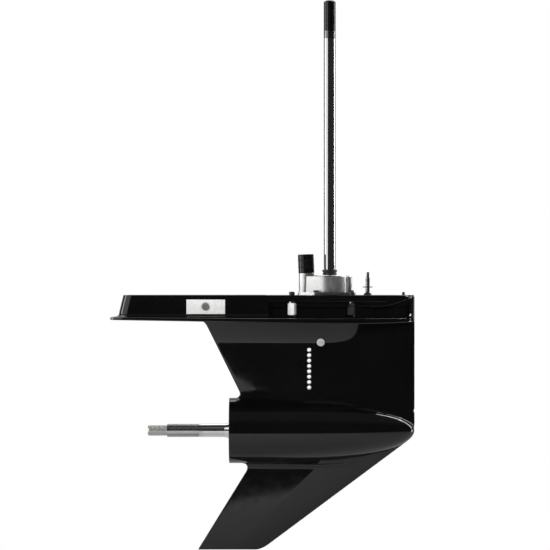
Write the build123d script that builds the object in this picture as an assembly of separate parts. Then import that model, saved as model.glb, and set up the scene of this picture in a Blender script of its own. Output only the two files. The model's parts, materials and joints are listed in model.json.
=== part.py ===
# Outboard lower unit, from the deck face down to the skeg, with its drive and shift train.
# Millimetres. +X points ahead, +Y to port and +Z up.
# The origin is on the driveshaft axis, in the plane of the deck face.

from build123d import *
import math
import os

os.makedirs("parts", exist_ok=True)

# Clearances
fit_gap = 0.05
free_gap = 0.3
seat_gap = 0.02

# Places of the shafts and the ends of the housing, measured from the driveshaft axis
shaft_drop = 250.5
shift_lead = 70.1
pitot_lead = 136.5
nose_lead = 157.0
deck_trail = 380.9
plate_trail = 409.2
torpedo_trail = 185.9

# Deck band and the plate round its foot
deck_half = 56.0
deck_tail_half = 34.0
deck_shoulder = 30.0
deck_corner = 20.0
deck_bevel = 3.1
deck_bluff = 0.55
band_draft = 7.5
band_foot = 31.5
band_flare = 8.0
plate_half = 98.0
plate_tail_half = 62.0
plate_shoulder = -120.0
plate_corner = 34.0
plate_top = 40.0
plate_edge = 5.2
plate_belly = 12.4
plate_belly_lead = 60.0
plate_mid = -140.0
plate_mid_drop = 9.6
plate_dip = 1.6
plate_bluff = 0.62

# Strut between the plate and the torpedo
strut_half = 29.0
strut_tail_half = 4.5
strut_shoulder = -20.0
strut_bluff = 0.46
strut_rake = 0.4947
strut_tail_root = 255.3
strut_swell = 27.0
strut_swell_foot = 92.0
strut_swell_lead = 74.0
strut_notch = 13.0
strut_corner = 3.0
under_plate_fillet = 12.0

# Torpedo and skeg
torpedo_radius = 60.3
nose_length = 240.5
nose_rings = 14
nose_tuck_height = 12.0
skeg_half = 8.5
skeg_tip_half = 4.2
skeg_tail_half = 2.2
skeg_bluff = 0.55
skeg_flare_lead = 30.0
skeg_drop = 471.0
skeg_nose_lead = 136.4
skeg_nose_drop = 275.6
skeg_sweep = 1.3455
skeg_tail_lead = 144.5
skeg_tail_drop = 310.0
skeg_tail_sweep = 0.617
skeg_notch = 17.0
skeg_corner = 1.8
skeg_fillet = 10.0
skeg_mark_radius = 12.0
skeg_mark_lead = 15.4
skeg_mark_drop = 349.7
skeg_mark_depth = 0.7
root_fillet = 16.0

# Walls and passages of the housing
wall = 6.5
flange_thick = 12.0
inner_flange_thick = 21.0
recess_depth = 15.5
inner_recess_depth = 6.0
recess_trail = 112.0
recess_lead = 128.0
exhaust_lead = 66.0
duct_tail_wall = 36.0
duct_tail_half = 4.0
inlet_count = 8
inlet_pitch = 9.91
inlet_radius = 3.7
inlet_trail = 38.3
inlet_top_drop = 101.0
inlet_scoop_depth = 4.5
scoop_overlap = 0.3
inlet_scoop_lead = 24.0
inlet_scoop_top = 97.9
inlet_scoop_foot = 174.6
water_length = 15.5
water_half = 19.0
water_groove_depth = 7.0

# Driveshaft and its bearings
shaft_radius = 11.1
shaft_top = 544.3
spline_length = 56.0
spline_depth = 1.5
spline_count = 14
journal_radius = 12.5
nut_rise = 21.5
nut_height = 9.0
pinion_thread_radius = 8.0
pinion_seat_radius = 9.5
pinion_back_rise = 53.0
pinion_nut_across = 21.0
upper_bearing_radius = 30.0
upper_bearing_length = 22.0
needle_radius = 20.0
needle_length = 25.0
needle_foot_rise = 55.0
shaft_bore_gap = 4.9
pinion_pocket_radius = 27.2
retainer_radius = 31.5
retainer_length = 6.0

# Bevel gears
pinion_teeth = 14
gear_teeth = 28
pinion_pitch_radius = 23.0
face_width = 15.0
pressure_angle = 20.0
pinion_addendum = 1.1
gear_addendum = 0.6
tooth_clearance = 0.2
tooth_shift = 0.25
backlash = 0.22
gear_rim = 6.0
hub_radius = 26.0
bush_radius = 16.0
hub_bore_radius = 13.0
hub_step_radius = 22.0

# Propeller shaft
prop_shaft_radius = 12.5
prop_seat_radius = 12.2
prop_flare_radius = 14.6
prop_flare_length = 8.5
prop_flat_length = 39.8
prop_spline_length = 66.4
prop_spline_count = 15
prop_spline_radius = 12.0
prop_thread_radius = 9.4
prop_aft_reach = 336.3
prop_shaft_front = 50.0
prop_spline_depth = 1.3
shaft_core_radius = 11.2
shaft_key_reach = 16.0
shaft_key_width = 4.0
shaft_key_count = 6
bore_radius = 5.8

# Dog clutch and shift train
jaw_count = 8
jaw_length = 4.4
jaw_radius = 19.0
jaw_width = 20.0
dog_gap = 0.15
spring_depth = 1.7
spring_half = 1.6
clutch_travel = 5.0
jaw_rest_gap = 1.0
hub_face_lead = 17.0
cross_pin_radius = 3.0
rod_radius = 5.5
rod_tail = 6.5
rod_neck_radius = 3.0
button_set_back = 3.1
button_length = 3.5
button_radius = 5.0
crank_angle = 30.0
shift_shaft_radius = 4.0
shift_shaft_top = 42.4
shift_bore_gap = 0.9
shift_bush_rise = 4.0
shift_seal_radius = 7.0
shift_flat_length = 10.4
shift_clip_height = 14.0
shift_clip_radius = 9.0
shift_clip_thick = 1.6
shift_clip_depth = 0.5
shift_bush_radius = 9.0
shift_bush_depth = 14.0
crank_width = 12.0
crank_thick = 5.0
crank_pin_radius = 3.0
stem_radius = 7.0
stem_tip_lead = 95.0

# Forward bearing, bearing carrier and what holds it
forward_bearing_radius = 39.0
forward_bearing_lead = 38.0
forward_bearing_length = 20.0
chamber_radius = 49.0
chamber_lead = 27.0
nose_cavity_radius = 30.0
nose_cavity_lead = 87.0
stem_guide_lead = 102.0
carrier_seat_radius = 52.0
exhaust_radius = 54.5
carrier_hub_radius = 27.0
carrier_front = 40.0
carrier_flange_aft = 76.0
carrier_rib_count = 4
carrier_rib_width = 8.0
carrier_ring_wall = 6.0
carrier_ring_length = 12.0
carrier_rib_run = 34.0
carrier_hub_inset = 6.0
prop_bearing_trail = 158.0
prop_bearing_length = 25.0
prop_bearing_radius = 19.5
oring_radius = 1.6
nut_length = 10.0
tab_washer_thick = 1.5
aft_lip = 3.0
reverse_bearing_radius = 39.0
reverse_bearing_length = 17.0
seal_radius = 22.0
seal_length = 7.0
seal_room = 15.0

# Water pump on the deck
gasket_thick = 0.5
pump_seat_depth = 0.7
pump_base_margin = 1.2
wear_plate_thick = 1.4
pump_base_radius = 34.0
pump_base_depth = 15.0
pump_top = 36.4
pump_radius = 36.0
foot_thick = 4.2
cup_radius = 30.8
cup_wall = 1.4
cup_offset = 1.5
cup_height = 25.0
impeller_blades = 6
impeller_hub_radius = 16.5
impeller_reach = 27.4
impeller_low = 1.8
impeller_height = 22.5
blade_thick = 4.0
key_width = 3.2
key_depth = 1.6
key_stand = 1.6
tube_trail = 43.0
tube_radius = 14.7
tube_bore_radius = 10.5
nipple_radius = 9.9
tube_length = 35.0
tower_top = 40.3
tube_lean = 2.3
nipple_length = 11.0
pump_round = 3.0
lobe_radius = 6.3
lobe_lead = 34.6
lobe_half = 15.0
pump_ear_radius = 8.5
pump_bolt_aft_half = 34.0
pump_bolt_across = 8.0
pump_bolt_head = 3.4
pump_bolt_depth = 9.0
pump_seal_radius = 20.0
journal_clear = 11.2
slinger_radius = 13.9
slinger_top = 47.2
shaft_groove_depth = 0.6
shaft_groove_half = 1.0
pump_seat_rim = 0.6
pump_bolt_radius = 3.0
pump_bolt_lead = 39.0
pump_bolt_trail = 26.0
pump_bolt_half = 27.0

# Fasteners, anodes and small fittings
deck_bolt_radius = 5.0
deck_shank_radius = 4.5
deck_bolt_lead = 39.5
deck_bolt_trail = 70.0
deck_bolt_half = 43.0
deck_nut_across = 13.5
deck_nut_height = 22.0
deck_bolt_tip = 6.0
deck_washer_thick = 2.5
anode_length = 70.7
anode_height = 26.5
anode_thick = 6.5
anode_proud = 1.6
anode_trail = 228.0
anode_drop = 21.3
anode_bolt_radius = 4.0
anode_head_radius = 6.5
anode_head_height = 3.4
anode_nut_across = 12.0
anode_nut_thick = 4.0
anode_counterbore_radius = 8.3
anode_counterbore_depth = 4.5
vent_radius = 7.2
vent_trail = 17.2
vent_drop = 86.8
vent_head = 3.0
slot_width = 2.0
plug_screw_radius = 5.0
plug_screw_length = 11.0
plug_gasket_thick = 1.0
drain_lead = 66.0
drain_tilt = 46.0
pitot_drop = 214.0
pitot_radius = 1.5
pitot_seat_depth = 10.0
pitot_nipple_height = 5.0
pitot_base_radius = 4.5
pitot_base_height = 1.2
speed_plug_radius = 3.7
speed_plug_lead = 114.3
speed_plug_drop = 192.4

# Steps, shoulders and flats
plate_blank_over = 8.0
plate_side_over = 5.0
duct_floor_step = 5.0
duct_foot_rise = 30.0
duct_corner_share = 0.8
chamber_step = 4.0
plug_seat_rim = 1.6
plug_gasket_rim = 0.4
vent_face_flat = 0.6
drain_face_flat = 1.2
drain_seat_depth = 20.0
pitot_scoop_radius = 4.0
bolt_pocket_gap = 3.0
deck_bolt_gap = 0.5
journal_rise = 3.0
journal_taper = 2.0
shaft_tip_length = 4.0
shaft_tip_step = 2.6
key_end_gap = 3.0
bush_recess = 5.0
gear_back_rim = 7.0
jaw_bore_gap = 0.2
jaw_root_gap = 0.5
pinion_root_gap = 1.5
pinion_collar = 4.0
upper_cup_thin = 2.5
upper_cup_thick = 5.5
cup_thin = 3.0
cup_thick = 6.0
carrier_hub_rim = 6.0
carrier_hub_run = 8.0
carrier_bore_gap = 1.5
carrier_gear_gap = 3.0
rib_turn = 45.0
nut_notch_half = 4.0
nut_notch_count = 8
prop_groove_stop = 7.0
thread_chamfer = 1.5
follower_rise = 7.0
slot_floor_rise = 0.8
shift_flat_reach = 4.9
shift_flat_half = 5.0
shift_seal_height = 5.0
shaft_clear = 1.4
cup_slot_half = 8.0
cup_slot_foot = 14.0
cup_slot_top = 4.0
outlet_half = 7.5
outlet_reach = 30.0
bolt_flange_thick = 1.2
slinger_lip = 0.8
slinger_rim = 3.0
seal_spacing = 0.5
seal_count = 2

# Values that follow from the ones above
axis_z = -shaft_drop
exhaust_deck_lead = recess_trail + wall
retainer_top = -pump_base_depth
bearing_top = retainer_top - retainer_length
bearing_foot = bearing_top - upper_bearing_length
needle_top = axis_z + needle_foot_rise + needle_length
cone_distance = pinion_pitch_radius * math.hypot(1, gear_teeth / pinion_teeth)
module_out = 2 * pinion_pitch_radius / pinion_teeth
pinion_angle = math.atan(pinion_teeth / gear_teeth)
gear_angle = math.pi / 2 - pinion_angle
toe_share = (cone_distance - face_width) / cone_distance
nose_start = nose_lead - 0.5 - nose_length
crank_radius = clutch_travel / math.sin(math.radians(crank_angle))
prop_axis = Axis((0, 0, axis_z), (1, 0, 0))
drive_axis = Axis((0, 0, 0), (0, 0, 1))


# Small building helpers

def save(name, *solids):
    """Write one sub-part, with each of its pieces as a solid of its own."""
    kept = []
    for solid in solids:
        kept.extend(solid.solids())
    shape = kept[0] if len(kept) == 1 else Compound(children=kept)
    shape.label = name
    export_step(shape, f"parts/{name}.step")
    return shape


def upright(radius, low, high, x=0.0, y=0.0):
    """Round bar along Z between two heights."""
    return Pos(x, y, (low + high) / 2) * Cylinder(radius, high - low)


def lengthwise(radius, aft, fore, y=0.0, z=axis_z):
    """Round bar along X between two stations."""
    return Pos((aft + fore) / 2, y, z) * Rot(0, 90, 0) * Cylinder(radius, fore - aft)


def crosswise(radius, near, far, x, z):
    """Round bar along Y between two breadths."""
    return Pos(x, (near + far) / 2, z) * Rot(90, 0, 0) * Cylinder(radius, far - near)


def block(x0, x1, y0, y1, z0, z1):
    """Plain block between two corners."""
    place = Pos((x0 + x1) / 2, (y0 + y1) / 2, (z0 + z1) / 2)
    return place * Box(x1 - x0, y1 - y0, z1 - z0)


def turned_x(points):
    """Solid of revolution about the propeller shaft axis, from (x, radius) points."""
    path = Polyline(*[(x, 0, axis_z + r) for x, r in points], close=True)
    return revolve(make_face(path), prop_axis)


def turned_z(points, x=0.0):
    """Solid of revolution about an upright axis, from (radius, z) points."""
    path = Polyline(*[(x + r, 0, z) for r, z in points], close=True)
    return revolve(make_face(path), Axis((x, 0, 0), (0, 0, 1)))


def hexagon(across, low, high, x=0.0, y=0.0):
    """Upright six-sided bar."""
    sketch = Pos(x, y, low) * RegularPolygon(across / 2, 6, major_radius=False)
    return extrude(sketch, high - low)


def around(solid, axis, count):
    """Copies of a solid, evenly turned about an axis."""
    return [solid.rotate(axis, 360 * k / count) for k in range(count)]


# Outlines of the housing at one height

def foil(z, fore, shoulder, aft, half, tail, corner, bluff, swell=0.0, swell_lead=0.0, fine=True):
    """Plan outline with a round nose, straight flanks and a flat tail with round corners."""
    nose_share = (0.02, 0.1, 0.28, 0.6)
    side = []
    for share in nose_share:
        x = fore - (fore - shoulder) * share
        rise = half * (1 - (1 - share) ** 2) ** bluff
        reach = min(max((swell_lead - x) / (swell_lead - shoulder), 0), 1) if swell else 0
        side.append((x, rise + swell * reach * reach * (3 - 2 * reach)))
    full = half + swell
    rear = tail + swell / 3
    slope = (full - rear) / (shoulder - aft)
    port = [(shoulder, full)] + side[::-1]
    starboard = [(x, -y) for x, y in port[::-1]]
    points = port + [(fore, 0)] + starboard
    if fine:
        nose = [Spline(*points, tangents=((1, slope if slope < 0 else 0), (-1, 0)))]
    else:
        nose = Polyline(*points).edges()
    flank = Polyline((shoulder, -full), (aft, -rear), (aft, rear), (shoulder, full))
    face = make_face(nose + flank.edges())
    ends = face.vertices().filter_by(lambda v: abs(v.X - aft) < 1e-6)
    return Pos(0, 0, z) * fillet(ends, min(corner, rear * 0.9))


def arc_flare(radius, depth):
    """Sideways reach of a quarter-round fillet at a depth past its tangent line."""
    inside = min(max(depth, 0), radius)
    return radius - math.sqrt(radius ** 2 - inside ** 2)


# Housing: strut, torpedo and skeg

def fillet_height(half):
    """Height at which the rolling fillet between a flank and the torpedo leaves the flank."""
    reach = torpedo_radius + root_fillet
    return axis_z + math.sqrt(reach ** 2 - (half + root_fillet) ** 2)


def strut_tail(z):
    """Trailing end of the strut at one height, with the flares above and below it."""
    plain = -strut_tail_root - strut_rake * z
    plate_foot = -plate_top - plate_edge
    top_flare = arc_flare(under_plate_fillet, z - plate_foot + under_plate_fillet)
    notch_top = axis_z + torpedo_radius + strut_notch
    return plain - top_flare - arc_flare(strut_notch, notch_top - z)


def strut_flare(z):
    """Outward sweep of the strut's flanks towards the plate, and towards the torpedo."""
    rise = (z + strut_swell_foot) / (strut_swell_foot - plate_top)
    upper = strut_swell * (1 - math.cos(math.pi / 2 * min(max(rise, 0), 1)))
    return upper + arc_flare(root_fillet, fillet_height(strut_half) - z)


def strut_section(z):
    """Outline of the strut at one height."""
    tuck = max(0, (axis_z + nose_tuck_height - z) / 8)
    return foil(z, nose_lead - tuck, strut_shoulder, strut_tail(z), strut_half, strut_tail_half,
                strut_corner, strut_bluff, strut_flare(z), strut_swell_lead)


def skeg_section(z):
    """Outline of the skeg at one height."""
    lead = skeg_nose_lead + skeg_sweep * (z + skeg_nose_drop)
    below = axis_z - torpedo_radius - z
    tail = -skeg_tail_lead + skeg_tail_sweep * (z + skeg_tail_drop)
    tail -= arc_flare(skeg_notch, skeg_notch - below)
    share = min(max(-skeg_nose_drop - z, 0) / (skeg_drop - skeg_nose_drop), 1)
    half = skeg_half + (skeg_tip_half - skeg_half) * share
    flare = arc_flare(skeg_fillet, skeg_fillet - below)
    middle = lead + (tail - lead) * 0.45
    return foil(z, lead, middle, tail, half, skeg_tail_half, skeg_corner, skeg_bluff, flare,
                lead - skeg_flare_lead, False)


def levels(top, foot, count):
    """Evenly spaced heights from the top one to the foot."""
    return [top + (foot - top) * k / (count - 1) for k in range(count)]


def stacked(section, heights):
    """Solid through the outlines at a row of heights."""
    return loft([section(z) for z in heights], ruled=True)


fillet_top = fillet_height(strut_half)
fillet_share = torpedo_radius / (torpedo_radius + root_fillet)
fillet_foot = axis_z + (fillet_top - axis_z) * fillet_share
strut_heights = levels(-plate_top - 2, -strut_swell_foot, 8)
strut_heights += levels(-strut_swell_foot - 40, fillet_top, 2)
strut_heights += levels(fillet_top - 3, fillet_foot, 3) + [axis_z]
strut = stacked(strut_section, strut_heights)

nose_turns = [math.pi / 2 * k / nose_rings for k in range(1, nose_rings)]
nose_points = [(nose_start + nose_length * math.sin(turn), torpedo_radius * math.cos(turn))
               for turn in nose_turns]
torpedo = turned_x([(-torpedo_trail, 0), (-torpedo_trail, torpedo_radius),
                    (nose_start, torpedo_radius)] + nose_points + [(nose_start + nose_length, 0)])

skeg_root = axis_z - torpedo_radius
skeg_heights = [axis_z - 20] + levels(skeg_root + 4, skeg_root - skeg_notch, 5) + [-skeg_drop]
skeg = stacked(skeg_section, skeg_heights)


# Housing: deck band with the plate round its foot

def deck_section(z):
    """Outline of the deck band at one height, flaring into the plate at its foot."""
    spread = band_draft * min(-z, band_foot) / band_foot
    flare = arc_flare(band_flare, -z - plate_top + band_flare)
    grow = spread * 0.4 + flare
    return foil(z, nose_lead - deck_bevel * max(0, 1 + z / deck_bevel), deck_shoulder,
                -deck_trail - spread - flare, deck_half + grow, deck_tail_half + grow,
                deck_corner, deck_bluff)


band_heights = [0, -deck_bevel, -band_foot] + levels(-plate_top + band_flare * 0.6, -plate_top, 3)
band = stacked(deck_section, band_heights + [-plate_top - plate_edge / 2])
plate_plan = foil(-plate_top - plate_belly - plate_blank_over / 2, nose_lead, plate_shoulder, -plate_trail,
                  plate_half, plate_tail_half, plate_corner, plate_bluff)
plate_blank = extrude(plate_plan, plate_belly + plate_blank_over)
plate_rear = -plate_trail - 1
plate_fore = nose_lead + 1
plate_crown = Spline((plate_rear, 0, -plate_top), (plate_mid, 0, -plate_top - plate_dip),
                     (plate_fore, 0, -plate_top - plate_dip * 1.5))
plate_keel = Spline((plate_rear, 0, -plate_top - plate_edge),
                    (plate_mid, 0, -plate_top - plate_mid_drop),
                    (plate_belly_lead, 0, -plate_top - plate_belly),
                    (plate_fore, 0, -plate_top - plate_mid_drop))
plate_ends = [Line(plate_crown @ 0, plate_keel @ 0), Line(plate_crown @ 1, plate_keel @ 1)]
plate_side = make_face([plate_crown, plate_keel] + plate_ends)
plate_slab = extrude(plate_side, plate_half + plate_side_over, dir=(0, 1, 0), both=True)
plate = plate_blank & plate_slab


# Housing: passages, bores and pockets

def flank_half(x, z):
    """Half-width of the strut's straight flank behind its shoulder."""
    tail = strut_tail(z)
    share = (strut_shoulder - x) / (strut_shoulder - tail)
    return strut_half + (strut_tail_half - strut_half) * share


def duct_section(z):
    """Outline of the exhaust duct inside the strut at one height."""
    fore_half = flank_half(-exhaust_lead, z) - wall
    aft = strut_tail(z) + duct_tail_wall
    corners = Polyline((-exhaust_lead, fore_half), (-exhaust_lead, -fore_half),
                       (aft, -duct_tail_half), (aft, duct_tail_half), close=True)
    outline = make_face(corners)
    ends = outline.vertices().filter_by(lambda v: v.X < -exhaust_lead - 1)
    return Pos(0, 0, z) * fillet(ends, duct_tail_half * duct_corner_share)


def band_cut(low_inset, top, foot):
    """Undercut below the deck flange, down to a core inset from the deck edge."""
    core = foil(foot, nose_lead - low_inset, deck_shoulder, -deck_trail, deck_half - low_inset,
                deck_tail_half - low_inset, deck_corner, deck_bluff)
    outside = block(-recess_trail, recess_lead, -plate_half, plate_half, foot, top)
    return outside - extrude(core, top - foot)


duct_floor = plate_top - duct_floor_step
deck_outline = deck_section(0)
well = offset(deck_outline, -wall) & Pos(-deck_trail, 0) * Rectangle(
    2 * (deck_trail - exhaust_deck_lead), 4 * deck_half)
deck_duct = extrude(Pos(0, 0, -duct_floor) * well, duct_floor + 1)
duct_heights = levels(-duct_floor + 1, axis_z + duct_foot_rise, 4)
strut_duct = stacked(duct_section, duct_heights)
exhaust_bore = lengthwise(exhaust_radius, -torpedo_trail - 1, -carrier_flange_aft)
carrier_bore = lengthwise(carrier_seat_radius, -carrier_flange_aft - 1, -carrier_front + 2)
gear_chamber = turned_x([(-carrier_front, 0), (-carrier_front, chamber_radius),
                         (chamber_lead, chamber_radius),
                         (forward_bearing_lead, forward_bearing_radius + chamber_step),
                         (forward_bearing_lead, 0)])
bearing_aft = forward_bearing_lead
bearing_fore = forward_bearing_lead + forward_bearing_length
front_bore = lengthwise(forward_bearing_radius + fit_gap, bearing_aft - 1, bearing_fore)
nose_cavity = lengthwise(nose_cavity_radius, bearing_fore - 1, nose_cavity_lead)
stem_guide = lengthwise(stem_radius + fit_gap, nose_cavity_lead - 1, stem_guide_lead)

pump_bolt_spots = [(x, side * y) for x, y in ((pump_bolt_lead, pump_bolt_half),
                                              (-pump_bolt_trail, pump_bolt_aft_half))
                   for side in (1, -1)]
pump_bolt_taps = [upright(pump_bolt_radius + fit_gap, -pump_bolt_depth, 1, x, y)
                  for x, y in pump_bolt_spots]


def pump_outline(grow):
    """Plan outline round the pump's feet and its outlet tower."""
    rings = [Pos(x, y) * Circle(pump_ear_radius + grow) for x, y in pump_bolt_spots]
    rings += [Circle(pump_radius + 2 + grow), Pos(-tube_trail, 0) * Circle(tube_radius + 1 + grow)]
    return make_hull([edge for ring in rings for edge in ring.edges()])


pump_seat = extrude(Pos(0, 0, -pump_seat_depth) * pump_outline(pump_base_margin + pump_seat_rim), 1)
pump_well = upright(pump_base_radius + fit_gap, -pump_base_depth, 1)
retainer_bore = upright(retainer_radius + fit_gap, bearing_top, retainer_top + 1)
upper_bore = upright(upper_bearing_radius + fit_gap, bearing_foot, bearing_top + 1)
shaft_bore = upright(shaft_radius + shaft_bore_gap, needle_top, bearing_foot + 1)
needle_bore = upright(needle_radius + fit_gap, needle_top - needle_length, needle_top + 1)
pinion_pocket = upright(pinion_pocket_radius, axis_z, needle_top - needle_length + 1)
shift_bore = upright(shift_shaft_radius + shift_bore_gap, axis_z, -shift_bush_depth + 1, shift_lead)
shift_seat = upright(shift_bush_radius + fit_gap, -shift_bush_depth, 1, shift_lead)

inlet_foot = -inlet_top_drop - inlet_pitch * inlet_count
water_slot = block(-inlet_trail - water_length / 2, -inlet_trail + water_length / 2,
                   -water_half, water_half, inlet_foot, bearing_foot - 4)
water_riser = block(-inlet_trail - water_length / 2, -upper_bearing_radius - 4.5,
                    -water_half / 2, water_half / 2, bearing_foot - 6, 1)
water_groove = block(-inlet_trail - water_length / 2, -pump_base_radius + 2,
                     -water_half / 2, water_half / 2, -water_groove_depth, 1)
inlet_holes = [crosswise(inlet_radius, -deck_half, deck_half, -inlet_trail,
                         -inlet_top_drop - k * inlet_pitch) for k in range(inlet_count)]
scoop_aft = -inlet_trail - inlet_radius * scoop_overlap
scoop_floor = flank_half(scoop_aft, -inlet_scoop_top) - inlet_scoop_depth
scoop_plan = Polyline((inlet_scoop_lead, strut_half), (scoop_aft, scoop_floor),
                      (scoop_aft, deck_half), (inlet_scoop_lead, deck_half), close=True)
scoop_face = Pos(0, 0, -inlet_scoop_foot) * make_face(scoop_plan)
scoop_port = extrude(scoop_face, inlet_scoop_foot - inlet_scoop_top)
scoops = [scoop_port, mirror(scoop_port, about=Plane.XZ)]

flange_cut = band_cut(inner_recess_depth, -flange_thick, -plate_top - plate_edge / 2)
core_cut = band_cut(recess_depth, -inner_flange_thick, -plate_top - plate_edge / 2)
fairing_curve = Spline((nose_lead, 0, 0), (shift_lead + 54, 0, -flange_thick - 1.9),
                       (shift_lead, 0, -inner_flange_thick))
fairing_top = Polyline(fairing_curve @ 1, (shift_lead, 0, 1), (nose_lead, 0, 1), fairing_curve @ 0)
fairing_side = make_face([fairing_curve] + fairing_top.edges())
fairing = extrude(fairing_side, plate_half, dir=(0, 1, 0), both=True)
deck_bolt_spots = [(x, side * deck_bolt_half) for x in (-deck_bolt_trail, deck_bolt_lead)
                   for side in (1, -1)]
bolt_pockets = [upright(deck_nut_across / 2 + bolt_pocket_gap, -plate_top, -flange_thick, x, y)
                for x, y in deck_bolt_spots]
bolt_holes = [upright(deck_bolt_radius + deck_bolt_gap, -flange_thick - 1, 1, x, y)
              for x, y in deck_bolt_spots]

anode_slope = (deck_half - deck_tail_half) / (deck_shoulder + deck_trail)
anode_turn = math.degrees(math.atan(anode_slope))
anode_spread = band_draft * 0.4 * anode_drop / band_foot
anode_face = deck_half - anode_slope * (deck_shoulder + anode_trail) + anode_spread


def on_flank(side):
    """Frame on the flank of the deck band at the anode, facing outwards."""
    return Pos(-anode_trail, side * anode_face, -anode_drop) * Rot(0, 0, side * anode_turn)


anode_depth = anode_thick - anode_proud
anode_recesses = [on_flank(side) * Pos(0, -side * anode_depth / 2 + side * 10, 0)
                  * Box(anode_length + 2 * free_gap, anode_depth + 20, anode_height + 2 * free_gap)
                  for side in (1, -1)]
anode_boss = crosswise(anode_bolt_radius + wall, -anode_face + anode_thick,
                       anode_face - anode_thick, -anode_trail, -anode_drop)
anode_hole = crosswise(anode_bolt_radius + fit_gap, -anode_face - 5, anode_face + 5,
                       -anode_trail, -anode_drop)

vent_face = flank_half(-vent_trail, -vent_drop) - vent_face_flat
vent_seat = crosswise(vent_radius + plug_seat_rim, -deck_half, -vent_face, -vent_trail, -vent_drop)
vent_hole = crosswise(plug_screw_radius + fit_gap, -vent_face, 0, -vent_trail, -vent_drop)
drain_reach = torpedo_radius * math.sqrt(1 - ((drain_lead - nose_start) / nose_length) ** 2)
drain_face = drain_reach - drain_face_flat
drain_place = Pos(drain_lead, 0, axis_z) * Rot(drain_tilt - 180, 0, 0)
drain_seat = drain_place * Pos(0, 0, drain_face + drain_seat_depth / 2) * Cylinder(
    vent_radius + plug_seat_rim, drain_seat_depth)
drain_hole = drain_place * Pos(0, 0, drain_face / 2) * Cylinder(plug_screw_radius + fit_gap, drain_face)
pitot_rise = upright(pitot_radius, -pitot_drop - pitot_radius, 1, pitot_lead)
pitot_recess = upright(pitot_base_radius + fit_gap, -pitot_base_height, 1, pitot_lead)
pitot_mouth = lengthwise(pitot_radius, pitot_lead, nose_lead + 5, z=-pitot_drop)
pitot_scoop = Pos(nose_lead + 2, 0, -pitot_drop) * Sphere(pitot_scoop_radius)
speed_plug_face = strut_half * (1 - (1 - (nose_lead - speed_plug_lead) / (nose_lead - strut_shoulder))
                                ** 2) ** strut_bluff
speed_plug_hole = crosswise(speed_plug_radius + fit_gap, -deck_half, 5 - speed_plug_face,
                            speed_plug_lead, -speed_plug_drop)
mark_share = (skeg_mark_drop - skeg_nose_drop) / (skeg_drop - skeg_nose_drop)
mark_face = skeg_half + (skeg_tip_half - skeg_half) * mark_share
mark_sphere = skeg_mark_radius ** 2 / (2 * skeg_mark_depth)
mark_limit = crosswise(skeg_mark_radius + 1, -2 * skeg_half, 2 * skeg_half,
                       skeg_mark_lead, -skeg_mark_drop)
skeg_marks = [mark_limit & Pos(skeg_mark_lead, side * (mark_face - skeg_mark_depth + mark_sphere),
                               -skeg_mark_drop) * Sphere(mark_sphere) for side in (1, -1)]

shell = torpedo + skeg + strut + plate
trimmed_band = band - (flange_cut - fairing) - (core_cut - fairing)
shell = shell + trimmed_band
ducts = deck_duct + strut_duct
ducts = ducts - anode_boss
housing = shell - ducts
for cavity in (exhaust_bore, carrier_bore, gear_chamber, front_bore, nose_cavity, stem_guide,
               pump_seat, pump_well, retainer_bore, upper_bore, shaft_bore, needle_bore, pinion_pocket,
               shift_bore, shift_seat, water_slot, water_riser, water_groove, anode_hole,
               vent_seat, vent_hole, drain_seat, drain_hole, pitot_rise, pitot_recess, pitot_mouth,
               pitot_scoop, speed_plug_hole):
    housing = housing - cavity
housing = housing - pump_bolt_taps - bolt_pockets - bolt_holes - inlet_holes
housing = housing - scoops - anode_recesses - skeg_marks
save("gearcase_housing", housing)


# Anodes, screws and small fittings on the housing

def hex_across_y(across, near, far, x, z):
    """Six-sided bar along Y between two breadths."""
    bar = extrude(RegularPolygon(across / 2, 6, major_radius=False), far - near)
    return Pos(x, near, z) * Rot(-90, 0, 0) * bar


def plug_screw():
    """Slotted plug screw with its head's outer face at height zero, pointing down."""
    head = Pos(0, 0, -vent_head / 2) * Cylinder(vent_radius, vent_head)
    head = chamfer(head.edges().group_by(Axis.Z)[-1], vent_head / 5)
    shank = Pos(0, 0, -(vent_head + plug_screw_length) / 2) * Cylinder(
        plug_screw_radius, vent_head + plug_screw_length)
    slot = Box(2 * vent_radius + 2, slot_width, vent_head)
    return head + shank - slot


def plug_gasket():
    """Flat ring under the plug screw's head."""
    ring = Cylinder(vent_radius + plug_gasket_rim, plug_gasket_thick) - Cylinder(
        plug_screw_radius + fit_gap, plug_gasket_thick + 1)
    return Pos(0, 0, -vent_head - plug_gasket_thick / 2) * ring


bolt_seat = anode_face + anode_proud - anode_counterbore_depth
bolt_clear = crosswise(anode_bolt_radius + fit_gap, -anode_face - 9, anode_face + 9,
                       -anode_trail, -anode_drop)
for name, side in (("port_anode", 1), ("starboard_anode", -1)):
    anode = on_flank(side) * Pos(0, side * (anode_proud - anode_thick / 2), 0) * Box(
        anode_length, anode_thick, anode_height)
    breadths = sorted((side * bolt_seat, side * (anode_face + 12)))
    counterbore = crosswise(anode_counterbore_radius, *breadths, -anode_trail, -anode_drop)
    save(name, anode - counterbore - bolt_clear)
anode_screw = crosswise(anode_bolt_radius, -bolt_seat, bolt_seat + anode_nut_thick + 1,
                        -anode_trail, -anode_drop)
anode_screw += crosswise(anode_head_radius, -bolt_seat - anode_head_height, -bolt_seat,
                         -anode_trail, -anode_drop)
anode_screw -= hex_across_y(anode_head_radius, -bolt_seat - anode_head_height - 1,
                            -bolt_seat - anode_head_height / 2, -anode_trail, -anode_drop)
save("anode_bolt", anode_screw)
anode_nut = hex_across_y(anode_nut_across, bolt_seat, bolt_seat + anode_nut_thick,
                         -anode_trail, -anode_drop)
save("anode_nut", anode_nut - bolt_clear)

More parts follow.
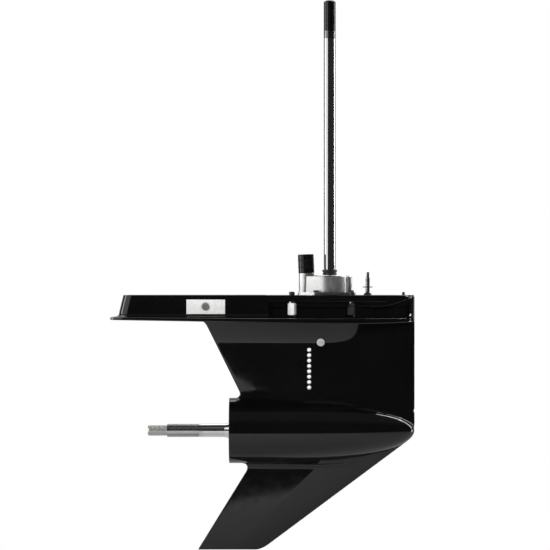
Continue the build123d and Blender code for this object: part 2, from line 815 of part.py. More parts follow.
vent_place = Pos(-vent_trail, -vent_face - vent_head - plug_gasket_thick, -vent_drop) * Rot(90, 0, 0)
save("vent_screw", vent_place * Rot(0, 0, 8) * plug_screw())
save("vent_gasket", vent_place * plug_gasket())
drain_out = drain_place * Pos(0, 0, drain_face + vent_head + plug_gasket_thick)
save("drain_screw", drain_out * plug_screw())
save("drain_gasket", drain_out * plug_gasket())

speed_plug = crosswise(speed_plug_radius, -speed_plug_face + 0.4, 5 - speed_plug_face,
                       speed_plug_lead, -speed_plug_drop)
save("speed_passage_plug", speed_plug)
pitot_fitting = upright(pitot_radius - fit_gap, -pitot_seat_depth, pitot_nipple_height, pitot_lead)
pitot_fitting += upright(pitot_base_radius, -pitot_base_height, 0, pitot_lead)
save("pitot_fitting", pitot_fitting)


def deck_bolt(x, y):
    """Long-headed bolt that stands in its pocket and comes up through the deck flange."""
    head_top = -flange_thick - deck_washer_thick
    head = hexagon(deck_nut_across, head_top - deck_nut_height, head_top, x, y)
    round_off = upright(deck_nut_across / math.sqrt(3), head_top - deck_nut_height, head_top, x, y)
    round_off = chamfer(round_off.edges().filter_by(GeomType.CIRCLE), deck_nut_across / 9)
    shank = upright(deck_shank_radius, head_top - 1, free_gap + 1, x, y)
    thread = upright(deck_bolt_radius, free_gap, deck_bolt_tip, x, y)
    thread = chamfer(thread.edges().group_by(Axis.Z)[-1], deck_bolt_radius / 6)
    return (head & round_off) + shank + thread


def deck_washer(x, y):
    """Washer between the bolt head and the flange."""
    ring = upright(deck_nut_across / 2, -flange_thick - deck_washer_thick, -flange_thick, x, y)
    return ring - upright(deck_shank_radius + fit_gap, -flange_thick - 5, 0, x, y)


save("aft_deck_bolts", *[deck_bolt(x, y) for x, y in deck_bolt_spots if x < 0])
save("front_deck_bolts", *[deck_bolt(x, y) for x, y in deck_bolt_spots if x > 0])
save("deck_bolt_washers", *[deck_washer(x, y) for x, y in deck_bolt_spots])


# Driveshaft with its splined top, bearing journals and pinion end

def splined(radius, depth, count, low, high):
    """Upright splined bar with straight-sided grooves."""
    pitch = 2 * math.pi * radius / count
    groove = block(radius - depth, radius + 1, -pitch / 4, pitch / 4, low - 1, high + 1)
    bar = upright(radius, low, high)
    return bar - around(groove, drive_axis, count)


nut_top = axis_z + nut_rise + nut_height
pinion_back = axis_z + pinion_back_rise
shaft_foot = axis_z + nut_rise - 1
driveshaft = turned_z([
    (0, shaft_foot), (pinion_thread_radius, shaft_foot), (pinion_thread_radius, nut_top),
    (pinion_seat_radius, nut_top), (pinion_seat_radius, pinion_back),
    (journal_radius, pinion_back), (journal_radius, needle_top + journal_rise),
    (shaft_radius, needle_top + journal_rise + journal_taper),
    (shaft_radius, bearing_foot - 2 * journal_taper),
    (journal_radius, bearing_foot - journal_taper), (journal_radius, retainer_top),
    (shaft_radius, retainer_top), (shaft_radius, slinger_top - shaft_groove_half),
    (shaft_radius - shaft_groove_depth, slinger_top - shaft_groove_half),
    (shaft_radius - shaft_groove_depth, slinger_top + shaft_groove_half),
    (shaft_radius, slinger_top + shaft_groove_half), (shaft_radius, shaft_top - spline_length),
    (0, shaft_top - spline_length)])
spline_top = splined(shaft_radius, spline_depth, spline_count, shaft_top - spline_length, shaft_top)
tip_cone = turned_z([(0, shaft_top - spline_length), (shaft_radius + 1, shaft_top - spline_length),
                     (shaft_radius + 1, shaft_top - shaft_tip_length),
                     (shaft_radius - shaft_tip_step, shaft_top),
                     (0, shaft_top)])
driveshaft += spline_top & tip_cone
key_low = impeller_low + key_end_gap
key_high = impeller_low + impeller_height - key_end_gap
key_seat = block(shaft_radius - key_depth, shaft_radius + 2, -key_width / 2 - seat_gap,
                 key_width / 2 + seat_gap, key_low - seat_gap, key_high + seat_gap)
save("driveshaft", driveshaft - key_seat)
save("impeller_key", block(shaft_radius - key_depth + seat_gap, shaft_radius + key_stand,
                           -key_width / 2, key_width / 2, key_low, key_high))


# Bevel gears with straight involute teeth that all point at one apex

def involute(angle):
    """Involute function of an angle."""
    return math.tan(angle) - angle


def gap_section(teeth, cone, thickness, top, bottom, scale):
    """Face of one tooth gap, square to the pitch line, at a share of the outer cone distance."""
    pressure = math.radians(pressure_angle)
    virtual = cone_distance * math.tan(cone)
    base = virtual * math.cos(pressure)
    normal = Vector(math.sin(cone), 0, math.cos(cone))

    def flank_point(reach, side):
        """Point on the gap's flank at a radius of the unrolled back cone."""
        contact = math.acos(min(1, base / reach))
        tooth_half = thickness / (2 * virtual) + involute(pressure) - involute(contact)
        turn = side * (math.pi / teeth - tooth_half / math.cos(cone))
        out = reach * math.cos(cone)
        rise = cone_distance / math.cos(cone) - reach * math.sin(cone)
        point = Vector(out * math.cos(turn), out * math.sin(turn), rise)
        return point * (scale * cone_distance / point.dot(normal))

    root = virtual - bottom
    start = max(root, base)
    reaches = [start + (virtual + top - start) * share for share in (0, 0.3, 0.65, 1)]
    left = Spline(*[flank_point(reach, 1) for reach in reaches])
    right = Spline(*[flank_point(reach, -1) for reach in reaches])
    edges = [left, right, Line(left @ 1, right @ 1)]
    feet = [flank_point(root, 1), flank_point(root, -1)]
    if root < base:
        edges += [Line(left @ 0, feet[0]), Line(right @ 0, feet[1])]
    return make_face(edges + [Line(*feet)])


def cut_teeth(blank, teeth, cone, addendum, dedendum, shift):
    """Gear blank with its tooth gaps cut towards the apex at the origin."""
    thickness = module_out * (math.pi / 2 + 2 * shift * math.tan(math.radians(pressure_angle)))
    top = (addendum + 0.45) * module_out
    faces = [gap_section(teeth, cone, thickness - backlash / 2, top, dedendum * module_out, scale)
             for scale in (1.14, toe_share * 0.86)]
    return blank - around(loft(faces, ruled=True), drive_axis, teeth)


def tooth_corners(cone, addendum, depth):
    """Inner and tip corners of the toothed ring at its toe, then at its heel, as (radius, height)."""
    along = (math.sin(cone), math.cos(cone))
    outward = (math.cos(cone), -math.sin(cone))
    corners = []
    for share, reach in ((toe_share, -depth), (toe_share, addendum), (1, addendum), (1, -depth)):
        corners.append(tuple(share * (cone_distance * u + reach * n)
                             for u, n in zip(along, outward)))
    return corners


def jaw_ring(inner, aft, fore, turn):
    """Ring of square jaws for the dog clutch, on the propeller shaft axis."""
    face = make_face(Polyline((aft, 0, axis_z + inner), (fore, 0, axis_z + inner),
                              (fore, 0, axis_z + jaw_radius), (aft, 0, axis_z + jaw_radius),
                              close=True))
    jaw = revolve(face, prop_axis, revolution_arc=jaw_width).rotate(prop_axis, turn - jaw_width / 2)
    return around(jaw, prop_axis, jaw_count)


gear_dedendum = pinion_addendum + tooth_clearance
pinion_dedendum = gear_addendum + tooth_clearance
jaw_tip = hub_face_lead - jaw_length
bush_start = hub_face_lead + bush_recess
hub_end = forward_bearing_lead + forward_bearing_length
gear_rise = gear_addendum * module_out
gear_depth = gear_dedendum * module_out + gear_rim
toe_rim, toe_tip, heel_tip, heel_rim = tooth_corners(gear_angle, gear_rise, gear_depth)
gear_blank = turned_z([
    (hub_bore_radius, hub_face_lead), (hub_step_radius, hub_face_lead), (hub_step_radius, toe_rim[1]),
    toe_rim, toe_tip, heel_tip, heel_rim, (hub_radius + gear_back_rim, forward_bearing_lead - free_gap),
    (hub_radius, forward_bearing_lead - free_gap), (hub_radius, hub_end), (bush_radius, hub_end),
    (bush_radius, bush_start), (hub_bore_radius, bush_start)])
gear_wheel = cut_teeth(gear_blank, gear_teeth, gear_angle, gear_addendum, gear_dedendum, -tooth_shift)
forward_wheel = Pos(0, 0, axis_z) * Rot(0, 90, 0) * gear_wheel
forward_jaws = jaw_ring(hub_bore_radius + jaw_bore_gap, jaw_tip, hub_face_lead + jaw_root_gap, 0)
reverse_wheel = Pos(0, 0, axis_z) * Rot(0, -90, 0) * gear_wheel
reverse_jaws = jaw_ring(hub_bore_radius + jaw_bore_gap, -hub_face_lead - jaw_root_gap, -jaw_tip, 0)
save("forward_gear", forward_wheel + forward_jaws)
save("reverse_gear", reverse_wheel + reverse_jaws)

pinion_rise = pinion_addendum * module_out
pinion_depth = pinion_dedendum * module_out + pinion_root_gap
toe_rim, toe_tip, heel_tip, heel_rim = tooth_corners(pinion_angle, pinion_rise, pinion_depth)
pinion_low = nut_rise + nut_height + seat_gap
pinion_blank = turned_z([
    (pinion_seat_radius + seat_gap, pinion_low), (toe_rim[0], pinion_low), toe_tip, heel_tip,
    heel_rim, (journal_radius + pinion_collar, pinion_back_rise),
    (pinion_seat_radius + seat_gap, pinion_back_rise)])
pinion = cut_teeth(pinion_blank, pinion_teeth, pinion_angle, pinion_addendum, pinion_dedendum,
                   tooth_shift)
save("pinion_gear", Pos(0, 0, axis_z) * Rot(0, 0, 180 / pinion_teeth) * pinion)
pinion_nut = hexagon(pinion_nut_across, axis_z + nut_rise, nut_top)
save("pinion_nut", pinion_nut - upright(pinion_thread_radius + fit_gap, axis_z + nut_rise - 1,
                                        nut_top + 1))


# Bearings on the driveshaft

def ring_z(outer, inner, low, high):
    """Upright ring."""
    return upright(outer, low, high) - upright(inner, low - 1, high + 1)


def ring_x(outer, inner, aft, fore):
    """Ring along the propeller shaft."""
    return lengthwise(outer, aft, fore) - lengthwise(inner, aft - 1, fore + 1)


save("upper_bearing_cup", turned_z([
    (upper_bearing_radius, bearing_foot), (upper_bearing_radius, bearing_top),
    (upper_bearing_radius - upper_cup_thick, bearing_top),
    (upper_bearing_radius - upper_cup_thin, bearing_foot)]))
cone_foot = bearing_foot + free_gap
save("upper_bearing_cone", turned_z([
    (journal_radius + fit_gap, cone_foot), (upper_bearing_radius - upper_cup_thin - free_gap, cone_foot),
    (upper_bearing_radius - upper_cup_thick - free_gap, bearing_top - free_gap),
    (journal_radius + fit_gap, bearing_top - free_gap)]))
save("bearing_retainer", ring_z(retainer_radius, journal_radius + 4, bearing_top + seat_gap,
                                retainer_top - seat_gap))
save("lower_needle_bearing", ring_z(needle_radius, journal_radius + fit_gap,
                                    needle_top - needle_length, needle_top))


# Bearings, bushes and carrier on the propeller shaft

for name, side in (("forward", 1), ("reverse", -1)):
    near = forward_bearing_lead
    far = near + (forward_bearing_length if side > 0 else reverse_bearing_length)
    outer = forward_bearing_radius if side > 0 else reverse_bearing_radius
    cone_far = far - free_gap
    cup = turned_x([(side * near, outer), (side * far, outer), (side * far, outer - cup_thin),
                    (side * near, outer - cup_thick)])
    cone = turned_x([(side * near, hub_radius + fit_gap), (side * cone_far, hub_radius + fit_gap),
                     (side * cone_far, outer - cup_thin - 2 * free_gap),
                     (side * near, outer - cup_thick - free_gap)])
    save(f"{name}_bearing_cup", cup)
    save(f"{name}_bearing_cone", cone)
    stations = sorted((side * (bush_start + seat_gap), side * hub_end))
    save(f"{name}_gear_bush", ring_x(bush_radius - seat_gap, prop_shaft_radius + fit_gap, *stations))

reverse_end = forward_bearing_lead + reverse_bearing_length
hub_aft = -torpedo_trail + carrier_hub_inset
nut_aft = -torpedo_trail + aft_lip
washer_aft = nut_aft + nut_length
ring_aft = washer_aft + tab_washer_thick
ring_fore = ring_aft + carrier_ring_length
carrier = turned_x([
    (-carrier_front, reverse_bearing_radius + fit_gap), (-carrier_front, carrier_seat_radius - fit_gap),
    (-carrier_flange_aft, carrier_seat_radius - fit_gap),
    (-carrier_flange_aft, carrier_hub_radius + carrier_hub_rim),
    (-carrier_flange_aft - carrier_hub_run, carrier_hub_radius),
    (hub_aft, carrier_hub_radius), (hub_aft, seal_radius + fit_gap),
    (hub_aft + seal_room, seal_radius + fit_gap), (hub_aft + seal_room, prop_flare_radius + carrier_bore_gap),
    (-prop_bearing_trail, prop_flare_radius + carrier_bore_gap),
    (-prop_bearing_trail, prop_bearing_radius + fit_gap),
    (-reverse_end - 2 * carrier_gear_gap, prop_bearing_radius + fit_gap),
    (-reverse_end - 2 * carrier_gear_gap, hub_radius + carrier_gear_gap),
    (-reverse_end, hub_radius + carrier_gear_gap), (-reverse_end, reverse_bearing_radius + fit_gap)])
carrier += ring_x(exhaust_radius - fit_gap, exhaust_radius - carrier_ring_wall, ring_aft, ring_fore)
rib = block(ring_aft, ring_fore + carrier_rib_run, -carrier_rib_width / 2, carrier_rib_width / 2,
            axis_z + carrier_hub_radius - 1, axis_z + exhaust_radius - carrier_ring_wall + 1)
ribs = [blade.rotate(prop_axis, rib_turn) for blade in around(rib, prop_axis, carrier_rib_count)]
groove_fore = -(carrier_front + carrier_flange_aft) / 2 + oring_radius
groove = ring_x(carrier_seat_radius + 1, carrier_seat_radius - 2 * oring_radius - seat_gap,
                groove_fore - 2 * oring_radius - 0.4, groove_fore + 0.4)
save("bearing_carrier", carrier + ribs - groove)
oring_turns = [math.pi / 4 * (k + 0.5) for k in range(8)]
oring_middle = carrier_seat_radius - oring_radius - seat_gap
oring = turned_x([(groove_fore - oring_radius * (1 - math.cos(turn)),
                   oring_middle + oring_radius * math.sin(turn)) for turn in oring_turns])
save("carrier_o_ring", oring)
save("carrier_tab_washer", ring_x(exhaust_radius - fit_gap, exhaust_radius - carrier_ring_wall,
                                  washer_aft, ring_aft - seat_gap))
ring_nut = ring_x(exhaust_radius - fit_gap, exhaust_radius - carrier_ring_wall, nut_aft,
                  washer_aft - seat_gap)
nut_notch = block(nut_aft - 1, nut_aft + nut_length / 2, -nut_notch_half, nut_notch_half,
                  axis_z + exhaust_radius - carrier_ring_wall - 1, axis_z + exhaust_radius - 3)
save("carrier_ring_nut", ring_nut - around(nut_notch, prop_axis, nut_notch_count))
save("prop_needle_bearing", ring_x(prop_bearing_radius, prop_flare_radius + fit_gap,
                                   seat_gap - prop_bearing_trail,
                                   prop_bearing_length - prop_bearing_trail))
seals = [ring_x(seal_radius, prop_flare_radius + fit_gap, hub_aft + k * (seal_length + seal_spacing),
                hub_aft + k * (seal_length + seal_spacing) + seal_length)
         for k in range(seal_count)]
save("prop_shaft_seals", *seals)


# Propeller shaft with its taper, splines, thread and hollow front end

flare_aft = -torpedo_trail - prop_flare_length
seat_aft = flare_aft - prop_flat_length
spline_aft = seat_aft - prop_spline_length
bore_aft = -rod_tail - clutch_travel - 1
prop_body = turned_x([
    (prop_shaft_front, bore_radius), (prop_shaft_front, prop_shaft_radius),
    (shaft_key_reach, prop_shaft_radius), (shaft_key_reach, shaft_core_radius),
    (-shaft_key_reach, shaft_core_radius), (-shaft_key_reach, prop_shaft_radius),
    (-hub_end, prop_shaft_radius), (-hub_end - 3, prop_flare_radius),
    (-torpedo_trail, prop_flare_radius), (flare_aft, prop_seat_radius),
    (seat_aft, prop_seat_radius), (seat_aft, 0), (bore_aft, 0), (bore_aft, bore_radius)])
shaft_key = block(-shaft_key_reach, shaft_key_reach, -shaft_key_width / 2, shaft_key_width / 2,
                  axis_z + shaft_core_radius - 1, axis_z + prop_shaft_radius)
shaft_keys = around(shaft_key, prop_axis, shaft_key_count)
pin_slot_half = cross_pin_radius + free_gap
pin_slot = block(-clutch_travel - pin_slot_half, clutch_travel + pin_slot_half,
                 -prop_shaft_radius - 1, prop_shaft_radius + 1,
                 axis_z - pin_slot_half, axis_z + pin_slot_half)
spline_bar = lengthwise(prop_spline_radius, spline_aft, seat_aft + 0.5)
prop_pitch = 2 * math.pi * prop_spline_radius / prop_spline_count
prop_groove = block(spline_aft - 1, seat_aft - prop_groove_stop, -prop_pitch / 4, prop_pitch / 4,
                    axis_z + prop_spline_radius - prop_spline_depth, axis_z + prop_spline_radius + 1)
spline_bar = spline_bar - around(prop_groove, prop_axis, prop_spline_count)
thread = lengthwise(prop_thread_radius, -prop_aft_reach, spline_aft + 0.5)
thread = chamfer(thread.edges().group_by(Axis.X)[0], thread_chamfer)
prop_shaft = prop_body + shaft_keys - pin_slot + spline_bar + thread
save("prop_shaft", prop_shaft)


# Dog clutch, cross pin, spring and the rod that moves them

dog_end = jaw_tip - jaw_rest_gap
dog_body = dog_end - jaw_length
dog = ring_x(jaw_radius, shaft_core_radius + dog_gap, -dog_body, dog_body)
dog_slots = around(block(-dog_body - 1, dog_body + 1, -shaft_key_width / 2 - dog_gap,
                         shaft_key_width / 2 + dog_gap, axis_z, axis_z + prop_shaft_radius + dog_gap),
                   prop_axis, shaft_key_count)
half_pitch = 180 / jaw_count
dog += jaw_ring(hub_bore_radius + jaw_bore_gap, dog_body - jaw_root_gap, dog_end, half_pitch)
dog += jaw_ring(hub_bore_radius + jaw_bore_gap, -dog_end, jaw_root_gap - dog_body, half_pitch)
spring_groove = ring_x(jaw_radius + 1, jaw_radius - spring_depth, -spring_half, spring_half)
pin_hole = crosswise(cross_pin_radius + seat_gap, -jaw_radius - 1, jaw_radius + 1, 0, axis_z)
save("clutch_dog", dog - dog_slots - spring_groove - pin_hole)
spring_seat = jaw_radius - spring_depth
pin_reach = math.sqrt(spring_seat ** 2 - cross_pin_radius ** 2)
save("clutch_cross_pin", crosswise(cross_pin_radius, -pin_reach, pin_reach, 0, axis_z))
save("clutch_retaining_spring", ring_x(jaw_radius - fit_gap, spring_seat + seat_gap,
                                       -spring_half + seat_gap, spring_half - seat_gap))
rod_front = prop_shaft_front - 4
button_aft = shift_lead - button_set_back
button_fore = button_aft + button_length
rod = lengthwise(rod_radius, -rod_tail, rod_front)
rod += lengthwise(rod_neck_radius, rod_front - 1, button_aft + 1)
rod += lengthwise(button_radius, button_aft, button_fore)
save("clutch_rod", rod - pin_hole)


# Cam follower, and the shift shaft with its crank

follower_top = axis_z + button_radius + follower_rise
slot_floor = axis_z + button_radius + slot_floor_rise
wall_aft = button_aft - 3.1
follower = block(wall_aft, shift_lead + 11, -9, crank_radius + 4.5, axis_z - 9, follower_top)
follower += lengthwise(stem_radius, shift_lead + 10, stem_tip_lead)
follower -= block(button_aft - free_gap, button_fore + free_gap, -button_radius - free_gap,
                  button_radius + free_gap, axis_z - 12, axis_z)
follower -= lengthwise(button_radius + free_gap, button_aft - free_gap, button_fore + free_gap)
follower -= lengthwise(rod_neck_radius + free_gap, wall_aft - 1, button_aft)
follower -= block(wall_aft - 1, button_aft, -rod_neck_radius - free_gap, rod_neck_radius + free_gap,
                  axis_z - 12, axis_z)
slot_half = crank_pin_radius + free_gap
slot_inner = crank_radius * math.cos(math.radians(crank_angle)) - slot_half - 0.6
follower -= block(shift_lead - slot_half, shift_lead + slot_half, slot_inner,
                  crank_radius + 6, slot_floor, follower_top + 1)
save("cam_follower", follower)

crank_low = follower_top + 0.5
crank_high = crank_low + crank_thick
crank_arm = extrude(Pos(shift_lead, crank_radius / 2, crank_low) * Rot(0, 0, 90)
                    * SlotCenterToCenter(crank_radius, crank_width), crank_thick)
crank_arm -= upright(shift_shaft_radius + seat_gap, crank_low - 1, crank_high + 1, shift_lead)
crank_arm += upright(crank_pin_radius, slot_floor + 0.4, crank_low + 1, shift_lead, crank_radius)
save("shift_crank", crank_arm)
shift_rod = upright(shift_shaft_radius, crank_low, shift_shaft_top, shift_lead)
shift_flats = [block(shift_lead + side * shift_flat_reach - 2, shift_lead + side * shift_flat_reach + 2,
                     -shift_flat_half, shift_flat_half,
                     shift_shaft_top - shift_flat_length, shift_shaft_top + 1) for side in (1, -1)]
clip_groove = ring_z(shift_shaft_radius + 1, shift_shaft_radius - shift_clip_depth,
                     shift_clip_height - seat_gap, shift_clip_height + shift_clip_thick + seat_gap)
save("shift_shaft", shift_rod - shift_flats - Pos(shift_lead, 0, 0) * clip_groove)
clip = ring_z(shift_clip_radius, shift_shaft_radius - shift_clip_depth + fit_gap, shift_clip_height,
              shift_clip_height + shift_clip_thick)
save("shift_clip", Pos(shift_lead, 0, 0) * clip)
bush = upright(shift_bush_radius, -shift_bush_depth + seat_gap, 0, shift_lead)
bush += turned_z([(shift_shaft_radius, -1), (shift_bush_radius - 1, -1), (shift_bush_radius - 1, 0),
                  (shift_shaft_radius + 1.6, shift_bush_rise), (shift_shaft_radius, shift_bush_rise)],
                 shift_lead)
bush -= upright(shift_shaft_radius + fit_gap, -shift_bush_depth - 1, shift_bush_rise + 1, shift_lead)
bush -= upright(shift_seal_radius + seat_gap, -shift_bush_depth - 1,
                -shift_bush_depth + shift_seal_height, shift_lead)
save("shift_bushing", bush)
save("shift_seal", Pos(shift_lead, 0, 0) * ring_z(shift_seal_radius, shift_shaft_radius + fit_gap,
                                                  -shift_bush_depth + seat_gap,
                                                  -shift_bush_depth + shift_seal_height - seat_gap))


# Water pump

gasket_top = gasket_thick - pump_seat_depth
plate_face = gasket_top + wear_plate_thick
shaft_hole = upright(shaft_radius + shaft_clear, -pump_base_depth - 1, pump_top + 1)
pump_bolt_holes = [upright(pump_bolt_radius + free_gap, -1, plate_face + foot_thick + 1, x, y)
                   for x, y in pump_bolt_spots]
intake = block(-impeller_reach, -impeller_hub_radius, -water_half / 2, water_half / 2,
               -water_groove_depth, plate_face + 1)
base_gasket = extrude(Pos(0, 0, -pump_seat_depth) * pump_outline(pump_base_margin), gasket_thick)
save("base_gasket", base_gasket - shaft_hole - pump_bolt_holes - intake)
wear_plate = extrude(Pos(0, 0, gasket_top) * pump_outline(pump_base_margin), wear_plate_thick)
save("wear_plate", wear_plate - shaft_hole - pump_bolt_holes - intake)
pump_base = upright(pump_base_radius, -pump_base_depth + seat_gap, -pump_seat_depth - seat_gap)
pump_base -= upright(shaft_radius + shaft_clear, -pump_base_depth - 1, 1)
pump_base -= upright(pump_seal_radius + seat_gap, -pump_base_depth - 1, -2)
base_port = block(-pump_base_radius - 1, -impeller_hub_radius, -water_half / 2, water_half / 2,
                  -water_groove_depth, 1)
save("pump_base", pump_base - base_port)
shaft_seals = [ring_z(pump_seal_radius, journal_clear, -pump_base_depth + 0.5 + 6.4 * k,
                      -pump_base_depth + 6.5 + 6.4 * k) for k in range(2)]
save("driveshaft_seals", *shaft_seals)

cup_top = plate_face + cup_height
cup = Pos(cup_offset, 0, 0) * (upright(cup_radius, plate_face, cup_top)
                               - upright(cup_radius - cup_wall, plate_face - 1, cup_top - cup_wall))
cup -= upright(shaft_radius + 3, plate_face, cup_top + 1)
cup -= block(-cup_radius - 5, 0, -cup_slot_half, cup_slot_half, cup_top - cup_slot_foot,
             cup_top - cup_slot_top)
save("pump_cup", cup)
body = extrude(Pos(0, 0, plate_face) * pump_outline(0), foot_thick)
dome = Pos(cup_offset, 0, 0) * upright(pump_radius, plate_face, pump_top)
dome = fillet(dome.edges().group_by(Axis.Z)[-1], pump_round)
lobes = [upright(lobe_radius, plate_face, pump_top - 1, lobe_lead, side * lobe_half)
         for side in (1, -1)]
lobes = [chamfer(lobe.edges().group_by(Axis.Z)[-1], 2) for lobe in lobes]
tower = upright(tube_radius - 0.5, plate_face, tower_top, -tube_trail)
lean = Pos(-tube_trail, 0, tower_top) * Rot(0, -tube_lean, 0)
nipple = lean * Pos(0, 0, nipple_length / 2 - 2) * Cylinder(nipple_radius, nipple_length + 4)
web = block(-tube_trail, -pump_radius + 8, -tube_radius + 3, tube_radius - 3, plate_face, pump_top - 3)
body = body + dome + lobes + tower + nipple + web
body -= Pos(cup_offset, 0, 0) * upright(cup_radius + fit_gap, plate_face - 1, cup_top + seat_gap)
body -= upright(shaft_radius + 1.2, plate_face, pump_top + 1)
body -= pump_bolt_holes
body -= block(-tube_trail, -cup_radius + 4, -outlet_half, outlet_half, cup_top - 13.5, cup_top - 4.5)
body -= lean * Pos(0, 0, -6) * Cylinder(outlet_half, 2 * nipple_length + outlet_reach)
body -= [upright(pump_ear_radius, plate_face + foot_thick, pump_top, x, y)
         for x, y in pump_bolt_spots if x < 0]
save("pump_housing", body)


def pump_bolt(x, y):
    """Flange-headed bolt through a foot of the pump."""
    seat = plate_face + foot_thick
    head = hexagon(pump_bolt_across, seat, seat + pump_bolt_head, x, y)
    flange = upright(pump_bolt_across / 2 + 1, seat, seat + bolt_flange_thick, x, y)
    shank = upright(pump_bolt_radius, -pump_bolt_depth, seat + 1, x, y)
    return head + flange + shank


save("pump_bolts", *[pump_bolt(x, y) for x, y in pump_bolt_spots])

impeller = upright(impeller_hub_radius, impeller_low, impeller_low + impeller_height)
blade_root = impeller_hub_radius - 2
blade_mid = impeller_low + impeller_height / 2
bulb = blade_thick * 0.6
blade = Pos((blade_root + impeller_reach) / 2 - 1, 0, blade_mid) * Box(
    impeller_reach - blade_root - 2, blade_thick, impeller_height)
blade += Pos(impeller_reach - bulb, 0, blade_mid) * Cylinder(bulb, impeller_height)
impeller += around(blade, drive_axis, impeller_blades)
impeller -= upright(shaft_radius + seat_gap, 0, pump_top)
impeller -= block(0, shaft_radius + key_stand + seat_gap, -key_width / 2 - seat_gap,
                  key_width / 2 + seat_gap, impeller_low - 1, impeller_low + impeller_height + 1)
save("impeller", impeller)
slinger = turned_z([
    (shaft_radius + seat_gap, pump_top + 0.6), (slinger_radius, pump_top + 0.6),
    (slinger_radius - slinger_lip, pump_top + 2.2), (shaft_radius + 1.2, pump_top + 4.6),
    (shaft_radius + 1.2, pump_top + 5.6), (slinger_radius, pump_top + 7.2),
    (slinger_radius, pump_top + 9.6), (slinger_radius - slinger_rim, slinger_top),
    (shaft_radius + seat_gap, slinger_top)])
save("shaft_slinger", slinger)
lift = tube_radius * math.sin(math.radians(tube_lean)) + seat_gap
coupling = upright(tube_radius, lift, lift + tube_length)
coupling -= upright(nipple_radius + fit_gap, 0, tube_length)
coupling -= upright(tube_bore_radius, nipple_length + 1, lift + tube_length + 1)
save("water_tube_coupling", lean * coupling)
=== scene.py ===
"""Looks of an outboard lower unit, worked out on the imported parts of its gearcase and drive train."""

import json
import math

import bpy
import numpy as np
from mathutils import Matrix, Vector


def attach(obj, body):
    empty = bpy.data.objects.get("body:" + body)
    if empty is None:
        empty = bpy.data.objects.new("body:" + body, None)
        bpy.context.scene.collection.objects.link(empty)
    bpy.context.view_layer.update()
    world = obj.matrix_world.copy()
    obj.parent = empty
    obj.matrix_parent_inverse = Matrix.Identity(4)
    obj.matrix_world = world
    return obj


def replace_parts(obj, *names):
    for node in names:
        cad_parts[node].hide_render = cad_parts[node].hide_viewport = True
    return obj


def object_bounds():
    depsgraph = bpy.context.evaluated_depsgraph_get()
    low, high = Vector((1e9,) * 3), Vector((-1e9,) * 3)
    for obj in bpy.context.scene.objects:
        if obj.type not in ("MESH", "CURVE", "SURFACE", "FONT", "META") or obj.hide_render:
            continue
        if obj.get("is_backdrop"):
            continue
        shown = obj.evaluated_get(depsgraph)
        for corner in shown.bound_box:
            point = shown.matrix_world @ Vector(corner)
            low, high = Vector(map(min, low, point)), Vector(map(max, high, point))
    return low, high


bl_info = {
    "name": "Outboard lower unit",
    "version": (1, 0, 0),
    "blender": (4, 5, 0),
    "location": "View3D > Sidebar > Lower unit",
    "description": "Builds the painted gearcase, shafts, pump and studio of an outboard lower unit",
    "category": "Object",
}

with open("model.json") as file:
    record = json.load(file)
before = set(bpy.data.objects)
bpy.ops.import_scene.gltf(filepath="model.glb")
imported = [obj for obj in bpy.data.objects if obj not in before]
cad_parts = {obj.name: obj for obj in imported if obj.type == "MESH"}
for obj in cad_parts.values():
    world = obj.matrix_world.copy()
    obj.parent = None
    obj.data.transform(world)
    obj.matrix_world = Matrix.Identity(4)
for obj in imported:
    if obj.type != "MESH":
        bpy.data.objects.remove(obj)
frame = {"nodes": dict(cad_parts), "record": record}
CAD_LOW, CAD_HIGH = (list(corner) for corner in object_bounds())
MM = 0.001

# Shared sizes in millimetres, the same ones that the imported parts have
AXIS_Z = -250.5
NOSE = 157.0
TORPEDO_R = 60.3
TORPEDO_AFT = -185.9
NOSE_LENGTH = 240.5
NOSE_START = NOSE - 0.5 - NOSE_LENGTH
PLATE_TOP = -40.0
STRUT_HALF = 29.0
STRUT_TAIL_HALF = 4.5
STRUT_SHOULDER = -20.0
STRUT_BLUFF = 0.72
SWELL_LEAD = 74.0
FOOT_ROLL = 16.0
DECK_HALF = 56.0
DECK_TAIL_HALF = 34.0
DECK_SHOULDER = 30.0
DECK_AFT = -380.9
DECK_SLOPE = (DECK_HALF - DECK_TAIL_HALF) / (DECK_SHOULDER - DECK_AFT)
DECK_BLUFF = 0.55
DECK_SPREAD = 7.5
SPREAD_DEPTH = 31.5
SPREAD_SHARE = 0.4
FLANGE_Z, FLANGE_INSET = -12.0, 6.0
STEP_Z, STEP_INSET = -21.0, 15.5
RECESS_AFT = -112.0
FAIRING_AFT = 70.1
SKEG_LEAD_Z, SKEG_FOOT_Z = -275.6, -471.0
SKEG_HALF, SKEG_FOOT_HALF = 10.0, 3.4
SHIFT_X, TOWER_X = 70.1, -43.0
SEAT_R = 8.8
ABOVE = 1.0

# Points along the straight flank, round the corner and across the tail of each half outline
FLANK_POINTS, BEND_POINTS, TAIL_POINTS = 40, 10, 5

# Heights of surface relief in metres, and the angle in degrees from which an edge is sharp
SMOOTH, FINE, SOFT, GRAINY, SANDY = 0.000002, 0.00001, 0.00002, 0.00004, 0.00008
SHARP = 35.0


# Array helpers

def clip01(values):
    """Values held between nought and one."""
    return np.clip(values, 0.0, 1.0)


def ease(values):
    """Smooth step: three t squared less two t cubed, with t held between nought and one."""
    t = clip01(values)
    return t * t * (3 - 2 * t)


def flare(radius, depth):
    """Quarter-round fillet: radius less the root of radius squared less depth squared."""
    inside = np.clip(depth, 0, radius)
    return radius - np.sqrt(radius ** 2 - inside ** 2)


def spread_rows(*spans):
    """Heights joined from spans of (start, end, count), each span without its last value."""
    rows = [np.linspace(start, end, count, endpoint=False) for start, end, count in spans]
    return np.concatenate(rows + [np.array([spans[-1][1]])])


